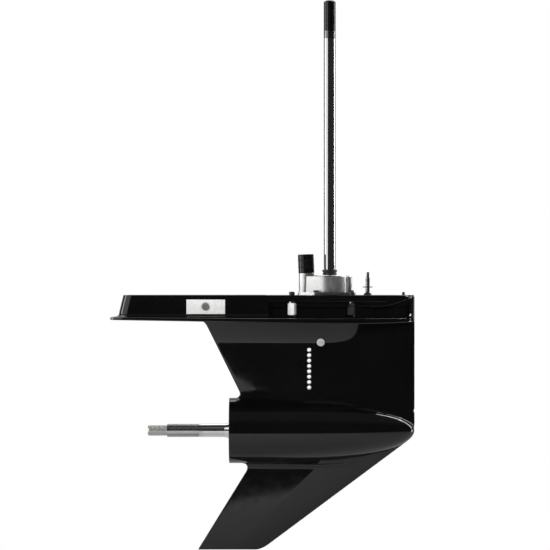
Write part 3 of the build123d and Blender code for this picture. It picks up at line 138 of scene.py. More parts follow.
def grid_quads(rows, columns):
    """Corner numbers of the quads of a grid whose columns close on themselves."""
    row, column = np.meshgrid(np.arange(rows - 1), np.arange(columns), indexing="ij")
    right = (column + 1) % columns
    quads = [row * columns + column, (row + 1) * columns + column,
             (row + 1) * columns + right, row * columns + right]
    return np.stack(quads, axis=-1).reshape(-1, 4)


def outward(mesh):
    """The mesh with its faces turned outwards: the fans of its faces add up to the enclosed volume."""
    vertices, parts = mesh
    volume = 0.0
    for part in parts:
        corner = vertices[part]
        for k in range(1, part.shape[1] - 1):
            cross = np.cross(corner[:, k], corner[:, k + 1])
            volume += np.einsum("ij,ij->", corner[:, 0], cross)
    return mesh if volume > 0 else (vertices, [part[:, ::-1] for part in parts])


def points_of(*axes):
    """Points from their coordinates, which may be of any shapes that fit together."""
    return np.stack(np.broadcast_arrays(*axes), axis=-1)


def tube_mesh(points):
    """Closed shell of rings, shape (rows, columns, 3), with a fan at each end and its faces outwards."""
    rows, columns = points.shape[:2]
    centres = np.stack([points[0].mean(axis=0), points[-1].mean(axis=0)])
    vertices = np.concatenate([points.reshape(-1, 3), centres])
    ring = np.arange(columns)
    after = (ring + 1) % columns
    first, last = rows * columns, rows * columns + 1
    start = (rows - 1) * columns
    head = np.stack([np.full(columns, first), ring, after], axis=1)
    tail = np.stack([np.full(columns, last), start + after, start + ring], axis=1)
    return outward((vertices, [grid_quads(rows, columns), head, tail]))


def joined(meshes):
    """Several meshes as one, each kept as a closed shell of its own."""
    vertices, faces, base = [], [], 0
    for points, parts in meshes:
        vertices.append(points)
        faces += [part + base for part in parts]
        base += len(points)
    return np.concatenate(vertices), faces


def smoothed(data, sharp):
    """A mesh shaded smooth, but for the edges that turn by more than an angle in degrees."""
    data.shade_smooth()
    data.set_sharp_from_angle(angle=math.radians(sharp))
    return data


def placed(name, data):
    """A new object in the scene for a mesh, a lamp or a camera."""
    made = bpy.data.objects.new(name, data)
    bpy.context.scene.collection.objects.link(made)
    return made


def to_mesh(name, mesh, sharp=SHARP):
    """Blender mesh in metres from numpy vertices in millimetres and arrays of quads and triangles."""
    vertices, parts = mesh
    data = bpy.data.meshes.new(name)
    corners = np.concatenate([part.reshape(-1) for part in parts]).astype(np.int32)
    sizes = np.concatenate([np.full(len(part), part.shape[1]) for part in parts])
    starts = np.concatenate([[0], np.cumsum(sizes)[:-1]]).astype(np.int32)
    data.vertices.add(len(vertices))
    data.vertices.foreach_set("co", (vertices * MM).astype(np.float32).reshape(-1))
    data.loops.add(len(corners))
    data.loops.foreach_set("vertex_index", corners)
    data.polygons.add(len(sizes))
    data.polygons.foreach_set("loop_start", starts)
    data.update(calc_edges=True)
    data.validate()
    return smoothed(data, sharp)


def piece(name, mesh, material, body, sharp=SHARP):
    """A new object that rides on a body, with one material."""
    made = placed(name, to_mesh(name, mesh, sharp))
    made.data.materials.append(material)
    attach(made, body)
    return made


def cut(target, cutters):
    """Takes closed numpy shells out of a piece with an exact Boolean, and keeps the result."""
    fewest_faces = 8
    for number, mesh in enumerate(cutters):
        tool = placed(f"cutter_{number}", to_mesh(f"cutter_{number}", mesh))
        modifier = target.modifiers.new("Cut", "BOOLEAN")
        modifier.operation, modifier.solver, modifier.object = "DIFFERENCE", "EXACT", tool
        depsgraph = bpy.context.evaluated_depsgraph_get()
        result = bpy.data.meshes.new_from_object(target.evaluated_get(depsgraph))
        if len(result.polygons) < fewest_faces:
            raise RuntimeError(f"cut {number} left nothing of {target.name}")
        target.modifiers.clear()
        old, target.data = target.data, result
        bpy.data.meshes.remove(old)
        bpy.data.objects.remove(tool)
    smoothed(target.data, SHARP)


def turned(profile, columns, axis="Z", x=0.0, z=0.0, wave=None):
    """Surface of revolution: each (station, radius) row is a circle, and wave may add to its radius."""
    profile = np.asarray(profile, float)
    angle = np.linspace(0, 2 * np.pi, columns, endpoint=False)[None, :]
    station, radius = profile[:, :1], profile[:, 1:2]
    if wave is not None:
        radius = radius + wave(station, angle)
    even, odd = radius * np.cos(angle), radius * np.sin(angle)
    return points_of(*{"X": (x + station, even, z + odd), "Y": (x + odd, station, z + even),
                       "Z": (x + even, odd, z + station)}[axis])[::-1]


def rounded(corners, radius, steps=5):
    """A profile of (station, radius) corners with each inner corner rounded by a short arc."""
    corners = [np.asarray(corner, float) for corner in corners]
    path = [corners[0]]
    for before, here, after in zip(corners, corners[1:], corners[2:]):
        back, ahead = before - here, after - here
        reach = min(radius, np.hypot(*back) * 0.45, np.hypot(*ahead) * 0.45)
        start = here + back / np.hypot(*back) * reach
        end = here + ahead / np.hypot(*ahead) * reach
        share = np.linspace(0, 1, steps)[:, None]
        path += list((1 - share) ** 2 * start + 2 * share * (1 - share) * here + share ** 2 * end)
    path.append(corners[-1])
    return np.array(path)


def prism(outline, low, high):
    """Upright prism on a counter-clockwise plan outline of (x, y) points."""
    outline = np.asarray(outline, float)
    top = np.column_stack([outline, np.full(len(outline), high)])
    foot = np.column_stack([outline, np.full(len(outline), low)])
    return tube_mesh(np.stack([top, foot]))


def bar(start, end, radius, columns=48):
    """Round bar between two points: circles square to the line, at both of its ends."""
    start, end = np.asarray(start, float), np.asarray(end, float)
    along = (end - start) / np.linalg.norm(end - start)
    side = np.cross(along, [0.0, 0.0, 1.0] if abs(along[2]) < 0.9 else [1.0, 0.0, 0.0])
    side /= np.linalg.norm(side)
    other = np.cross(along, side)
    angle = np.linspace(0, 2 * np.pi, columns, endpoint=False)[:, None]
    ring = radius * (np.cos(angle) * side + np.sin(angle) * other)
    return tube_mesh(np.stack([end + ring, start + ring]))


def ring_mesh(profile, columns, place):
    """Hollow ring: a closed loop of (station, radius) turned about a line, with no end caps."""
    profile = np.asarray(profile, float)
    origin, along, across, aside = place
    angle = np.linspace(0, 2 * np.pi, columns, endpoint=False)[None, :, None]
    spin = np.cos(angle) * across + np.sin(angle) * aside
    points = origin + profile[:, None, :1] * along + profile[:, None, 1:] * spin
    quads = grid_quads(len(profile) + 1, columns) % (len(profile) * columns)
    return outward((points.reshape(-1, 3), [quads]))


# Outlines of the painted case

def foil_rows(z, fore, shoulder, aft, half, tail, corner, bluff, swell=0.0, swell_lead=1.0, nose_count=64):
    """Plan outlines at many heights: a nose whose half-breadth is the sine of an angle to a power, a
    straight flank, a round corner and a flat tail, mirrored to starboard."""
    column = lambda value: np.zeros((len(z), 1)) + np.reshape(value, (-1, 1))
    fore, shoulder, aft, half, tail, swell = map(column, (fore, shoulder, aft, half, tail, swell))
    angle = np.linspace(0, np.pi / 2, nose_count)[None, :]
    nose_x = fore - (fore - shoulder) * (1 - np.cos(angle))
    reach = ease((swell_lead - nose_x) / (swell_lead - shoulder))
    nose_y = half * np.sin(angle) ** (2 * bluff) + swell * reach
    full, rear = half + swell, tail + swell / 3
    start, heel = points_of(shoulder, full), points_of(aft, rear)
    run = np.hypot(shoulder - aft, full - rear)
    ahead = (heel - start) / run[..., None]
    turn = np.arccos(np.clip(-ahead[..., 1], -1, 1))
    tangent = np.minimum(corner, rear * 0.9) * np.tan(turn / 2)
    share = np.linspace(0, 1, FLANK_POINTS)[None, 1:] * (1 - tangent / run)
    first, last = heel - ahead * tangent[..., None], points_of(aft, rear - tangent)
    bend = np.linspace(0, 1, BEND_POINTS)[None, 1:]
    pulls = (1 - bend) ** 2, 2 * np.cos(turn / 2) * bend * (1 - bend), bend ** 2
    curve = sum(pull[..., None] * point for pull, point in zip(pulls, (first, heel, last)))
    line = np.concatenate([
        points_of(nose_x, nose_y), start + (heel - start) * share[..., None], curve / sum(pulls)[..., None],
        points_of(aft, (rear - tangent) * np.linspace(1, 0, TAIL_POINTS)[None, 1:])], axis=1)
    outline = np.concatenate([line, line[:, -2:0:-1] * (1, -1)], axis=1)
    height = np.zeros((*outline.shape[:2], 1)) + np.reshape(z, (-1, 1, 1))
    return np.concatenate([outline, height], axis=-1)


def strut_tail(z):
    """Trailing end of the strut: a raked line, less a fillet under the plate and one at the torpedo."""
    start, rake, plate_z, top_roll, foot_roll = -255.3, 0.4947, -45.2, 12.0, 13.0
    return (start - rake * z - flare(top_roll, z - plate_z + top_roll)
            - flare(foot_roll, AXIS_Z + TORPEDO_R + foot_roll - z))


def fillet_height(half):
    """Where a rolling fillet leaves a flank that stands on the torpedo."""
    return AXIS_Z + math.sqrt((TORPEDO_R + FOOT_ROLL) ** 2 - (half + FOOT_ROLL) ** 2)


def strut_shell():
    """Strut: foil outlines from inside the plate to inside the torpedo, swelling under the plate."""
    swell_foot, swell_width, tuck_height, tuck_fall, corner, nose_count = -92.0, 27.0, 12.0, 8, 3.0, 72
    top_fillet = fillet_height(STRUT_HALF)
    foot_fillet = AXIS_Z + (top_fillet - AXIS_Z) * TORPEDO_R / (TORPEDO_R + FOOT_ROLL)
    z = spread_rows((-41.5, -62, 22), (-62, -96, 26), (-96, top_fillet, 26),
                    (top_fillet, foot_fillet, 16), (foot_fillet, AXIS_Z, 14))
    rise = clip01((z - swell_foot) / (PLATE_TOP - swell_foot))
    swell = swell_width * (1 - np.cos(np.pi / 2 * rise))
    swell = swell + flare(FOOT_ROLL, np.minimum(top_fillet - z, FOOT_ROLL))
    tuck = np.maximum(0, (AXIS_Z + tuck_height - z) / tuck_fall)
    return tube_mesh(foil_rows(z, NOSE - tuck, STRUT_SHOULDER, strut_tail(z), STRUT_HALF, STRUT_TAIL_HALF,
                               corner, STRUT_BLUFF, swell, SWELL_LEAD, nose_count))


def torpedo_radius(x):
    """Radius of the torpedo at a station: even, then a quarter ellipse over the nose."""
    return TORPEDO_R * np.sqrt(1 - clip01((x - NOSE_START) / NOSE_LENGTH) ** 2)


def torpedo_shell():
    """Torpedo: a straight bar with a nose that is a quarter ellipse, turned about the shaft axis."""
    hollow, rim, rim_round, tip, rings = 50.0, 8, 1.3, 0.05, 14
    turn = np.linspace(0, np.pi / 2, 90)[1:]
    nose = np.column_stack([NOSE_START + NOSE_LENGTH * np.sin(turn), TORPEDO_R * np.cos(turn)])
    nose[-1, 1] = tip
    corners = [(TORPEDO_AFT, hollow), (TORPEDO_AFT, TORPEDO_R), (TORPEDO_AFT + rim, TORPEDO_R)]
    station = np.linspace(TORPEDO_AFT + 10, NOSE_START, rings)
    straight = np.column_stack([station, np.full(rings, TORPEDO_R)])
    profile = np.concatenate([rounded(corners, rim_round), straight, nose])
    return tube_mesh(turned(profile, 220, "X", z=AXIS_Z))


def skeg_share(z):
    """How far down the skeg a height lies: nought at the top of its leading edge and one at its foot."""
    return clip01((SKEG_LEAD_Z - z) / (SKEG_LEAD_Z - SKEG_FOOT_Z))


def skeg_half(z):
    """Half-thickness of the skeg, which falls evenly from its top to its foot."""
    return SKEG_HALF + (SKEG_FOOT_HALF - SKEG_HALF) * skeg_share(z)


def skeg_shell():
    """Skeg: thin foil outlines swept back down a straight leading edge, with a round foot."""
    lead_x, lead_sweep, toe_z, toe_height, toe_reach = 136.4, 1.3455, -462.0, 9.0, 10.0
    tail_x, tail_z, tail_sweep, tail_roll, heel_reach = -144.5, -310.0, 0.617, 17.0, 1.5
    round_z, round_height, side_roll, swell_run = -468.4, 2.6, 10.0, 30
    tail_half, tail_foot_half, corner, bluff, shoulder, nose_count = 4.0, 2.2, 1.8, 0.55, 0.45, 56
    root = AXIS_Z - TORPEDO_R
    z = spread_rows((-270.5, -300, 24), (-300, root - 18, 30), (root - 18, -455, 26), (-455, -468, 12),
                    (-468, SKEG_FOOT_Z, 9))
    below = root - z
    foot = np.sqrt(1 - clip01((round_z - z) / round_height) ** 2)
    toe = clip01((toe_z - z) / toe_height)
    lead = lead_x + lead_sweep * (z - SKEG_LEAD_Z) - toe_reach * (1 - np.sqrt(1 - toe ** 2))
    tail = tail_x + tail_sweep * (z - tail_z) - flare(tail_roll, tail_roll - below)
    tail = tail + heel_reach * (1 - foot)
    half = skeg_half(z) * np.maximum(foot, 0.08)
    tail_half = (tail_half + (tail_foot_half - tail_half) * skeg_share(z)) * np.maximum(foot, 0.1)
    swell = flare(side_roll, side_roll - below)
    return tube_mesh(foil_rows(z, lead, lead + (tail - lead) * shoulder, tail, half, tail_half, corner,
                               bluff, swell, np.reshape(lead - swell_run, (-1, 1)), nose_count))


def deck_half_at(x, inset, grow=0.0):
    """Half-breadth of the deck outline at a station, drawn in by an inset and widened by the spread: an
    even taper, and ahead of the shoulder one less the square of the way back to it, to a power."""
    fore = NOSE - inset
    share = clip01((fore - x) / (fore - DECK_SHOULDER))
    nose = (DECK_HALF - inset + grow) * (1 - (1 - share) ** 2) ** DECK_BLUFF
    return nose - DECK_SLOPE * np.maximum(0, DECK_SHOULDER - x)


def fairing_z(x):
    """Lower edge of the front fairing: a parabola through three points of its side view."""
    slope, bend, middle = 0.1315, 0.00335, 124.1
    run = x - FAIRING_AFT
    return np.where(x < FAIRING_AFT, STEP_Z, STEP_Z + slope * run + bend * run * (x - middle))


def lofted(corners):
    """Closed shell through sections, with each corner given as its x, y and z down the sections."""
    return tube_mesh(np.stack([points_of(*corner) for corner in corners], axis=1))


def undercut(inset, top, side):
    """Recess under the deck flange: four corners at each station, from a core line out past the edge."""
    taper_start, recess_fore, taper, beyond, floor = 100, 146, 0.8, 110.0, -43.0
    x = np.concatenate([np.linspace(RECESS_AFT, 66, 60), np.linspace(FAIRING_AFT, recess_fore, 70)])
    drawn_in = 1 - taper * ease((x - taper_start) / (recess_fore - taper_start))
    inner, outer = side * deck_half_at(x, inset * drawn_in), side * beyond
    high = np.where(x < FAIRING_AFT, top, np.minimum(top, fairing_z(x)))
    return lofted([(x, inner, high), (x, inner, floor), (x, outer, floor), (x, outer, high)])


def deck_shell():
    """Deck band: foil outlines that spread downwards and flare into the plate at their foot."""
    top_round, brow, foot_roll, corner = 0.7, 3.1, 8.0, 20.0
    z = spread_rows((0, -0.7, 5), (-0.7, -3.1, 4), (-3.1, -32, 12), (-32, -40, 12), (-40, -42.6, 2))
    spread = DECK_SPREAD * np.minimum(-z, SPREAD_DEPTH) / SPREAD_DEPTH
    foot = flare(foot_roll, PLATE_TOP - z + foot_roll)
    edge = top_round - np.sqrt(top_round ** 2 - np.clip(top_round + z, 0, top_round) ** 2)
    grow = deck_grow(z) + foot - edge
    fore = NOSE - brow * np.maximum(0, 1 + z / brow) - edge
    return tube_mesh(foil_rows(z, fore, DECK_SHOULDER, DECK_AFT - spread - foot + edge,
                                       DECK_HALF + grow, DECK_TAIL_HALF + grow, corner, DECK_BLUFF))


def plate_shell():
    """Cavitation plate: round-edged slab sections down a plan foil, between a crown and a keel line."""
    shoulder, aft, half, tail, corner, bluff = -120.0, -409.2, 98.0, 62.0, 34.0, 0.62
    lip, edge_points, nose_points, trim_start, trim_run = 1.8, 6, 90, -300, 100
    crown_line = [(-410.2, -40.0), (-275, -41.1), (-140, -41.6), (0, -42.0), (158, -42.4)]
    keel_line = [(-410.2, -45.2), (-340, -46.2), (-275, -47.1), (-200, -48.4), (-140, -49.6),
                 (-60, -51.2), (0, -52.1), (60, -52.4), (110, -51.5), (158, -49.6)]
    plan = foil_rows(np.array([0.0]), NOSE, shoulder, aft, half, tail, corner, bluff, nose_count=nose_points)
    last = nose_points + FLANK_POINTS + 4
    x, breadth = plan[0, 1:last, 0], plan[0, 1:last, 1]
    turn = np.linspace(0, np.pi / 2, edge_points)
    end = np.zeros(len(x) + edge_points - 1)
    end[-edge_points:] = lip * (1 - np.cos(turn))
    x, breadth = (np.concatenate([row, np.full(edge_points - 1, row[-1])]) for row in (x, breadth))
    top = (np.interp(x, *zip(*crown_line)) - end)[:, None]
    foot = (np.interp(x, *zip(*keel_line)) + end)[:, None]
    x[-edge_points:] -= lip * np.sin(turn) - lip
    ahead = x[:-edge_points]
    x[:-edge_points] = np.minimum(ahead + lip * ease((trim_start - ahead) / trim_run), NOSE)
    radius = np.minimum(lip, breadth * 0.6)[:, None]
    across = np.linspace(-1, 1, 15)[None, 1:-1]
    flat, fall = breadth[:, None] - radius, radius * (1 - np.cos(turn))
    edge = flat + radius * np.sin(turn)
    side = np.concatenate([flat * across, edge, edge[:, ::-1]], axis=1)
    z = np.concatenate([top + 0 * across, top - fall, (foot + fall)[:, ::-1],
                        foot + 0 * across, foot + fall, (top - fall)[:, ::-1]], axis=1)
    y = np.concatenate([side, -side], axis=1)
    return tube_mesh(points_of(x[:, None], y, z))


def well_shell():
    """Exhaust well in the deck: four corners at each station inside the deck outline."""
    fore, bend, aft, wall, corner, corner_run, floor = -118.5, -360, -374.4, 6.5, 14.0, 14.5, -35.0
    x = np.concatenate([np.linspace(fore, bend, 40), np.linspace(bend - 2, aft, 8)])
    share = clip01((bend - x) / corner_run)
    half = deck_half_at(x, wall) - corner * (1 - np.sqrt(1 - share ** 2))
    return lofted([(x, half, ABOVE), (x, half, floor), (x, -half, floor), (x, -half, ABOVE)])


def duct_shell():
    """Exhaust duct in the strut: a tapered wedge through five heights."""
    fore, wall, tail_wall, tail_half = -66.0, 6.5, 36.0, 4.0
    z = np.array([-33.0, -60.0, -110.0, -160.0, AXIS_Z + 30.0])
    half, aft = flank_half(fore, z) - wall, strut_tail(z) + tail_wall
    return lofted([(fore, half, z), (aft, tail_half, z), (aft, -tail_half, z), (fore, -half, z)])


def flank_half(x, z):
    """Half-width of the strut's straight flank behind its shoulder."""
    share = (STRUT_SHOULDER - x) / (STRUT_SHOULDER - strut_tail(np.asarray(z)))
    return STRUT_HALF + (STRUT_TAIL_HALF - STRUT_HALF) * share


def scoop(side):
    """Shallow wedge recess at the water inlet, deepest at its after end."""
    fore, aft, top, foot, depth, beyond = 24.0, -39.4, -97.9, -174.6, 4.5, 56.0
    floor = flank_half(aft, top) - depth
    outline = [(fore, STRUT_HALF), (aft, floor), (aft, beyond), (fore, beyond)]
    return prism([(x, side * y) for x, y in outline], foot, top)


def stepped(sections, axis, columns=72, **place):
    """Closed stepped bar: a turned profile of (station, radius) pairs."""
    return tube_mesh(turned(sections, columns, axis, **place))


def drive_bore():
    """Bore for the driveshaft: the pump well, bearing seats and pinion pocket in one stepped profile."""
    return stepped([(1, 34.05), (-15, 34.05), (-15.01, 31.55), (-21, 31.55), (-21.01, 30.05),
                    (-43, 30.05), (-43.01, 16), (-170.5, 16), (-170.51, 20.05), (-195.5, 20.05),
                    (-195.51, 27.2), (-250.5, 27.2)], "Z")


def prop_bore():
    """Bore for the propeller shaft: exhaust room, carrier seat, gear chamber and nose cavities."""
    return stepped([(-190, 54.5), (-76, 54.5), (-75.99, 52), (-40, 52), (-39.99, 49), (27, 49),
                    (38, 43), (38.01, 39.05), (58, 39.05), (58.01, 30), (87, 30), (87.01, 7.05),
                    (102, 7.05)], "X", 160, z=AXIS_Z)


def shift_bore():
    """Bore for the shift shaft and its bush."""
    return stepped([(1, 9.05), (-14, 9.05), (-14.01, 4.9), (-250.5, 4.9)], "Z", 40, x=SHIFT_X)


def strut_bores():
    """The eight water holes through the strut, with the seats of its small screws."""
    hole_x, hole_top, hole_gap, hole_r, beyond = -38.3, -101, 9.91, 3.7, 60
    vent_x, vent_z, vent_depth = -17.2, -86.8, 0.6
    plug_x, plug_z, plug_r, plug_foot = 114.3, -192.4, 3.75, 14.0
    pitot_x, pitot_z, pitot_r, sliver = 159.0, -214.0, 4.0, 0.03
    holes = [bar((hole_x, -beyond, z), (hole_x, beyond, z), hole_r)
             for z in hole_top - hole_gap * np.arange(8)]
    vent = flank_half(vent_x, vent_z) - vent_depth
    seat = bar((vent_x, -beyond, vent_z), (vent_x, -vent, vent_z), SEAT_R)
    plug = bar((plug_x, -beyond, plug_z), (plug_x, -plug_foot, plug_z), plug_r)
    turn = np.linspace(sliver, np.pi - sliver, 24)
    ball = np.column_stack([-pitot_r * np.cos(turn), pitot_r * np.sin(turn)])
    return joined([*holes, seat, plug, stepped(ball, "X", 40, x=pitot_x, z=pitot_z)])


def anode_recess(side):
    """Shallow recess for a side anode: a block turned to lie along the flank of the deck band."""
    anode_x, anode_z, length, height, gap, depth, out = -228.0, -21.3, 70.7, 26.5, 0.8, 4.9, 14.0
    turn = math.atan(DECK_SLOPE)
    face = float(deck_half_at(anode_x, 0, deck_grow(anode_z)))
    along, up = length / 2 + gap, height / 2 + gap
    corners = np.array([(-along, -depth), (along, -depth), (along, out), (-along, out)])
    x = corners[:, 0] * math.cos(turn) - corners[:, 1] * math.sin(turn)
    y = corners[:, 0] * math.sin(turn) + corners[:, 1] * math.cos(turn)
    return prism(np.column_stack([x + anode_x, side * (y + face)]), anode_z - up, anode_z + up)


def skeg_dish(side):
    """Round dished mark on the skeg: a shallow cap turned about a cross line."""
    mark_x, mark_z, radius, depth = 15.4, -349.7, 12.0, 0.7
    face = skeg_half(mark_z)
    turn = np.linspace(0.02, 1, 12)
    cap = np.column_stack([face - depth + depth * turn ** 2, radius * turn])
    cap = np.concatenate([cap, [(face + radius, radius)]])
    cap[:, 0] *= side
    return stepped(cap, "Y", 56, x=mark_x, z=mark_z)


def nose_fillets():
    """Fillet between the strut and the torpedo's nose: at each station the centre of a rolling circle
    lies its radius off the flank and off the torpedo, and a short arc joins its two points of touch."""
    close, tip, proud, inward = 120, 156.3, 0.04, 0.7
    x = np.concatenate([np.linspace(STRUT_SHOULDER, close, 70, endpoint=False), np.linspace(close, tip, 60)])
    share = clip01((NOSE - x) / (NOSE - STRUT_SHOULDER))
    flank = STRUT_HALF * (1 - (1 - share) ** 2) ** STRUT_BLUFF
    roll = np.interp(x, [STRUT_SHOULDER, SWELL_LEAD, close, NOSE], [15.0, 13.0, 8.0, 6.0])
    centre_y = flank + roll
    centre_z = np.sqrt(np.maximum((torpedo_radius(x) + roll) ** 2 - centre_y ** 2, 0.01))
    last = np.arctan2(-centre_z, -centre_y)
    turn = np.linspace(0, 1, 15)[None, :]
    angle = -np.pi + turn * (last[:, None] + np.pi)
    reach = roll[:, None] + proud
    y = centre_y[:, None] + reach * np.cos(angle)
    z = centre_z[:, None] + reach * np.sin(angle)
    inner_y = np.stack([y[:, -1] * inward, flank * 0.5], axis=1)
    inner_z = np.stack([z[:, -1] * inward, centre_z], axis=1)
    y, z = np.concatenate([y, inner_y], axis=1), np.concatenate([z, inner_z], axis=1)
    return joined([tube_mesh(points_of(x[:, None], side * y, AXIS_Z + z)) for side in (1, -1)])


def pump_skin():
    """Pump housing: the outline round its chamber and its outlet tower, where straight flanks touch both
    circles, stacked upwards with a small draft and a rounded top edge."""
    chamber_r, tower_r, brow_z, brow = 36.2, 12.4, 33.2, 3.2
    side = np.pi / 2 + math.asin((chamber_r - tower_r) / -TOWER_X)
    ahead = np.linspace(-side, side, 121)
    behind = np.linspace(side, 2 * np.pi - side, 61)
    turn = np.linspace(0.1, 1.5, 9)
    z = np.concatenate([[2.0, 4.2, 4.21, 6.0, 20.0, brow_z], brow_z + brow * np.sin(turn)])
    inset = np.concatenate([[0.0, 0.0, 0.0, 0.05, 0.25, 0.4], 0.4 + brow * (1 - np.cos(turn))])
    rows = []
    for angle, centre, radius in ((ahead, 0.0, chamber_r), (behind, TOWER_X, tower_r)):
        reach = radius - inset[:, None]
        rows.append(points_of(centre + reach * np.cos(angle), reach * np.sin(angle), z[:, None]))
    return tube_mesh(np.concatenate(rows, axis=1))


def pitot_barb():
    """Barbed hose end of the speed sensor's passage: a turned profile with two ridges."""
    profile = [(0.05, 3.1), (1.4, 3.1), (1.5, 2.2), (2.2, 2.2), (2.4, 2.9), (3.6, 2.3), (3.8, 2.9),
               (5.2, 2.1), (5.7, 1.7), (5.75, 0.9)]
    return stepped(profile, "Z", 48, x=136.5)


def deck_grow(z):
    """How much the deck band widens on each side down to a height, evenly to the end of its spread."""
    return DECK_SPREAD * np.minimum(-z, SPREAD_DEPTH) / SPREAD_DEPTH * SPREAD_SHARE



def bead(x, y, z, radius):
    """Rolled edge: circles of one radius, square to X, carried along a path."""
    angle = np.linspace(0, 2 * np.pi, 16, endpoint=False)[None, :]
    return tube_mesh(points_of(x[:, None], y[:, None] + radius * np.cos(angle),
                               np.reshape(z, (-1, 1)) + radius * np.sin(angle)))


def deck_beads():
    """Rolled lower edges of the deck flange, of its inner step and of the front fairing."""
    fine, bold, close = 0.8, 0.9, 130.0
    low = np.linspace(RECESS_AFT, 104.0, 90)
    step = np.linspace(RECESS_AFT, 68.0, 70)
    front = np.concatenate([np.linspace(70.5, close, 50, endpoint=False), np.linspace(close, 155.5, 40)])
    drop = fairing_z(front)
    paths = [(low, deck_half_at(low, 0, deck_grow(FLANGE_Z)) - 0.5, FLANGE_Z + 0.5, fine),
             (step, deck_half_at(step, FLANGE_INSET) - 0.4, STEP_Z + 0.4, fine),
             (front, deck_half_at(front, 0, deck_grow(drop)) - 0.6, drop + 0.5, bold)]
    return joined([bead(x, side * y, z, radius) for side in (1, -1) for x, y, z, radius in paths])


def drain_seat():
    """Round seat of the drain screw, square to the torpedo's skin on the starboard quarter."""
    station, depth, length = 66.0, 1.2, 20
    tilt = math.radians(46.0 - 180.0)
    reach = torpedo_radius(station) - depth
    way = np.array([0.0, -math.sin(tilt), math.cos(tilt)])
    centre = np.array([station, 0.0, AXIS_Z])
    return bar(centre + way * reach, centre + way * (reach + length), SEAT_R)


# Node materials

def node_material(name):
    """A fresh node material: its tree, its shader and the object's own coordinates."""
    material = bpy.data.materials.new(name)
    material.use_nodes = True
    tree = material.node_tree
    place = tree.nodes.new("ShaderNodeTexCoord").outputs["Object"]
    return material, tree, tree.nodes["Principled BSDF"], place


def fed(tree, node, inputs):
    """Gives a node its inputs, each a socket to link or a constant to set."""
    for name, value in inputs.items():
        if isinstance(value, bpy.types.NodeSocket):
            tree.links.new(value, node.inputs[name])
        else:
            node.inputs[name].default_value = value
    return node


def added(tree, kind, output, inputs, **settings):
    """Adds a node with its settings and its inputs, and returns one of its outputs."""
    node = tree.nodes.new(kind)
    for name, value in settings.items():
        setattr(node, name, value)
    return fed(tree, node, inputs).outputs[output]


def noise_of(tree, place, scale, detail=3.0, stretch=None):
    """Noise over the object's own coordinates, which may be stretched along an axis."""
    if stretch is not None:
        place = added(tree, "ShaderNodeMapping", "Vector", {"Scale": stretch, "Vector": place})
    return added(tree, "ShaderNodeTexNoise", "Fac", {"Scale": scale, "Detail": detail, "Vector": place})


def between(tree, value, low, high, start=0.3, end=0.7):
    """Maps a value smoothly onto a range."""
    spans = {"Value": value, "From Min": start, "From Max": end, "To Min": low, "To Max": high}
    return added(tree, "ShaderNodeMapRange", "Result", spans, interpolation_type="SMOOTHSTEP")


def surfaced(name, tones, roughs, marks, metallic=0.0, ior=1.5, cap=None):
    """A material whose colour, roughness and relief each follow a noise: its two tones, its two
    roughnesses, and marks that give the scale, detail and stretch of each of the three noises and the
    height of the relief. Above a cap height, where one is given, it is black."""
    material, tree, shader, place = node_material(name)
    tint, haze, grain = (noise_of(tree, place, *mark) for mark in marks[:3])
    colour = tinted(tree, tint, *tones)
    if cap is not None:
        above = between(tree, axis_of(tree, place, "Z"), 0.0, 1.0, cap, cap + MM)
        colour = mixed(tree, above, colour, (0.012, 0.012, 0.012, 1.0))
    fed(tree, shader, {"Base Color": colour, "Roughness": between(tree, haze, *roughs),
                       "Metallic": metallic, "IOR": ior, "Normal": bumped(tree, grain, marks[3])})
    return material


def mixed(tree, factor, first, second, kind="RGBA"):
    """Blend of two colours or two values by a factor."""
    return added(tree, "ShaderNodeMix", "Result", {"Factor": factor, "A": first, "B": second}, data_type=kind)


def axis_of(tree, place, axis):
    """One of three coordinates."""
    return added(tree, "ShaderNodeSeparateXYZ", axis, {"Vector": place})


def tinted(tree, value, first, second):
    """Colour between two tones by a value."""
    ramp = tree.nodes.new("ShaderNodeValToRGB")
    for stop, position, tone in zip(ramp.color_ramp.elements, (0.35, 0.65), (first, second)):
        stop.position, stop.color = position, (*tone, 1)
    tree.links.new(value, ramp.inputs["Fac"])
    return ramp.outputs["Color"]


def bumped(tree, value, height):
    """Normal with a fine relief."""
    return added(tree, "ShaderNodeBump", "Normal", {"Strength": 1.0, "Distance": height, "Height": value})


def paint(settings):
    """Deep gloss black paint: a dark tone with faint cloudiness, uneven gloss and a slight orange peel."""
    tone, rough = np.array(settings.paint_colour), settings.paint_roughness
    return surfaced("gloss_black_paint", (tone * 0.85, tone * 1.2), (rough * 0.7, rough * 1.4),
                    ((9.0,), (60.0, 5.0), (420.0, 2.0), settings.paint_peel))


def metal(name, light, dark, rough, grain, stretch, relief):
    """Bare metal: two close tones, with roughness and relief from stretched noise along the tool marks."""
    marks = (grain, 4.0, stretch)
    return surfaced(name, (dark, light), (rough * 0.75, rough * 1.35), (marks, marks, marks, relief), 1.0)


def cast_silver(settings):
    """Cast and painted pump metal: silver flake with soft mottling and a sandy relief."""
    tone, mottle = np.array(settings.pump_colour), (70.0, 5.0)
    return surfaced("pump_silver", (tone * 0.88, np.minimum(tone * 1.08, 1.0)), (0.36, 0.44),
                    ((900.0, 2.0), mottle, mottle, SANDY), 1.0)


def plated(name, tone, metallic, rough, grain, relief, cap=None):
    """Cast or plated metal with a soft skin: part metal, part matt, mottled and slightly grained."""
    tone, mottle = np.array(tone), (grain, 5.0)
    return surfaced(name, (tone * 0.92, np.minimum(tone * 1.04, 1.0)), (rough * 0.8, rough * 1.25),
                    (mottle, mottle, (grain * 4, 3.0), relief), metallic, cap=cap)


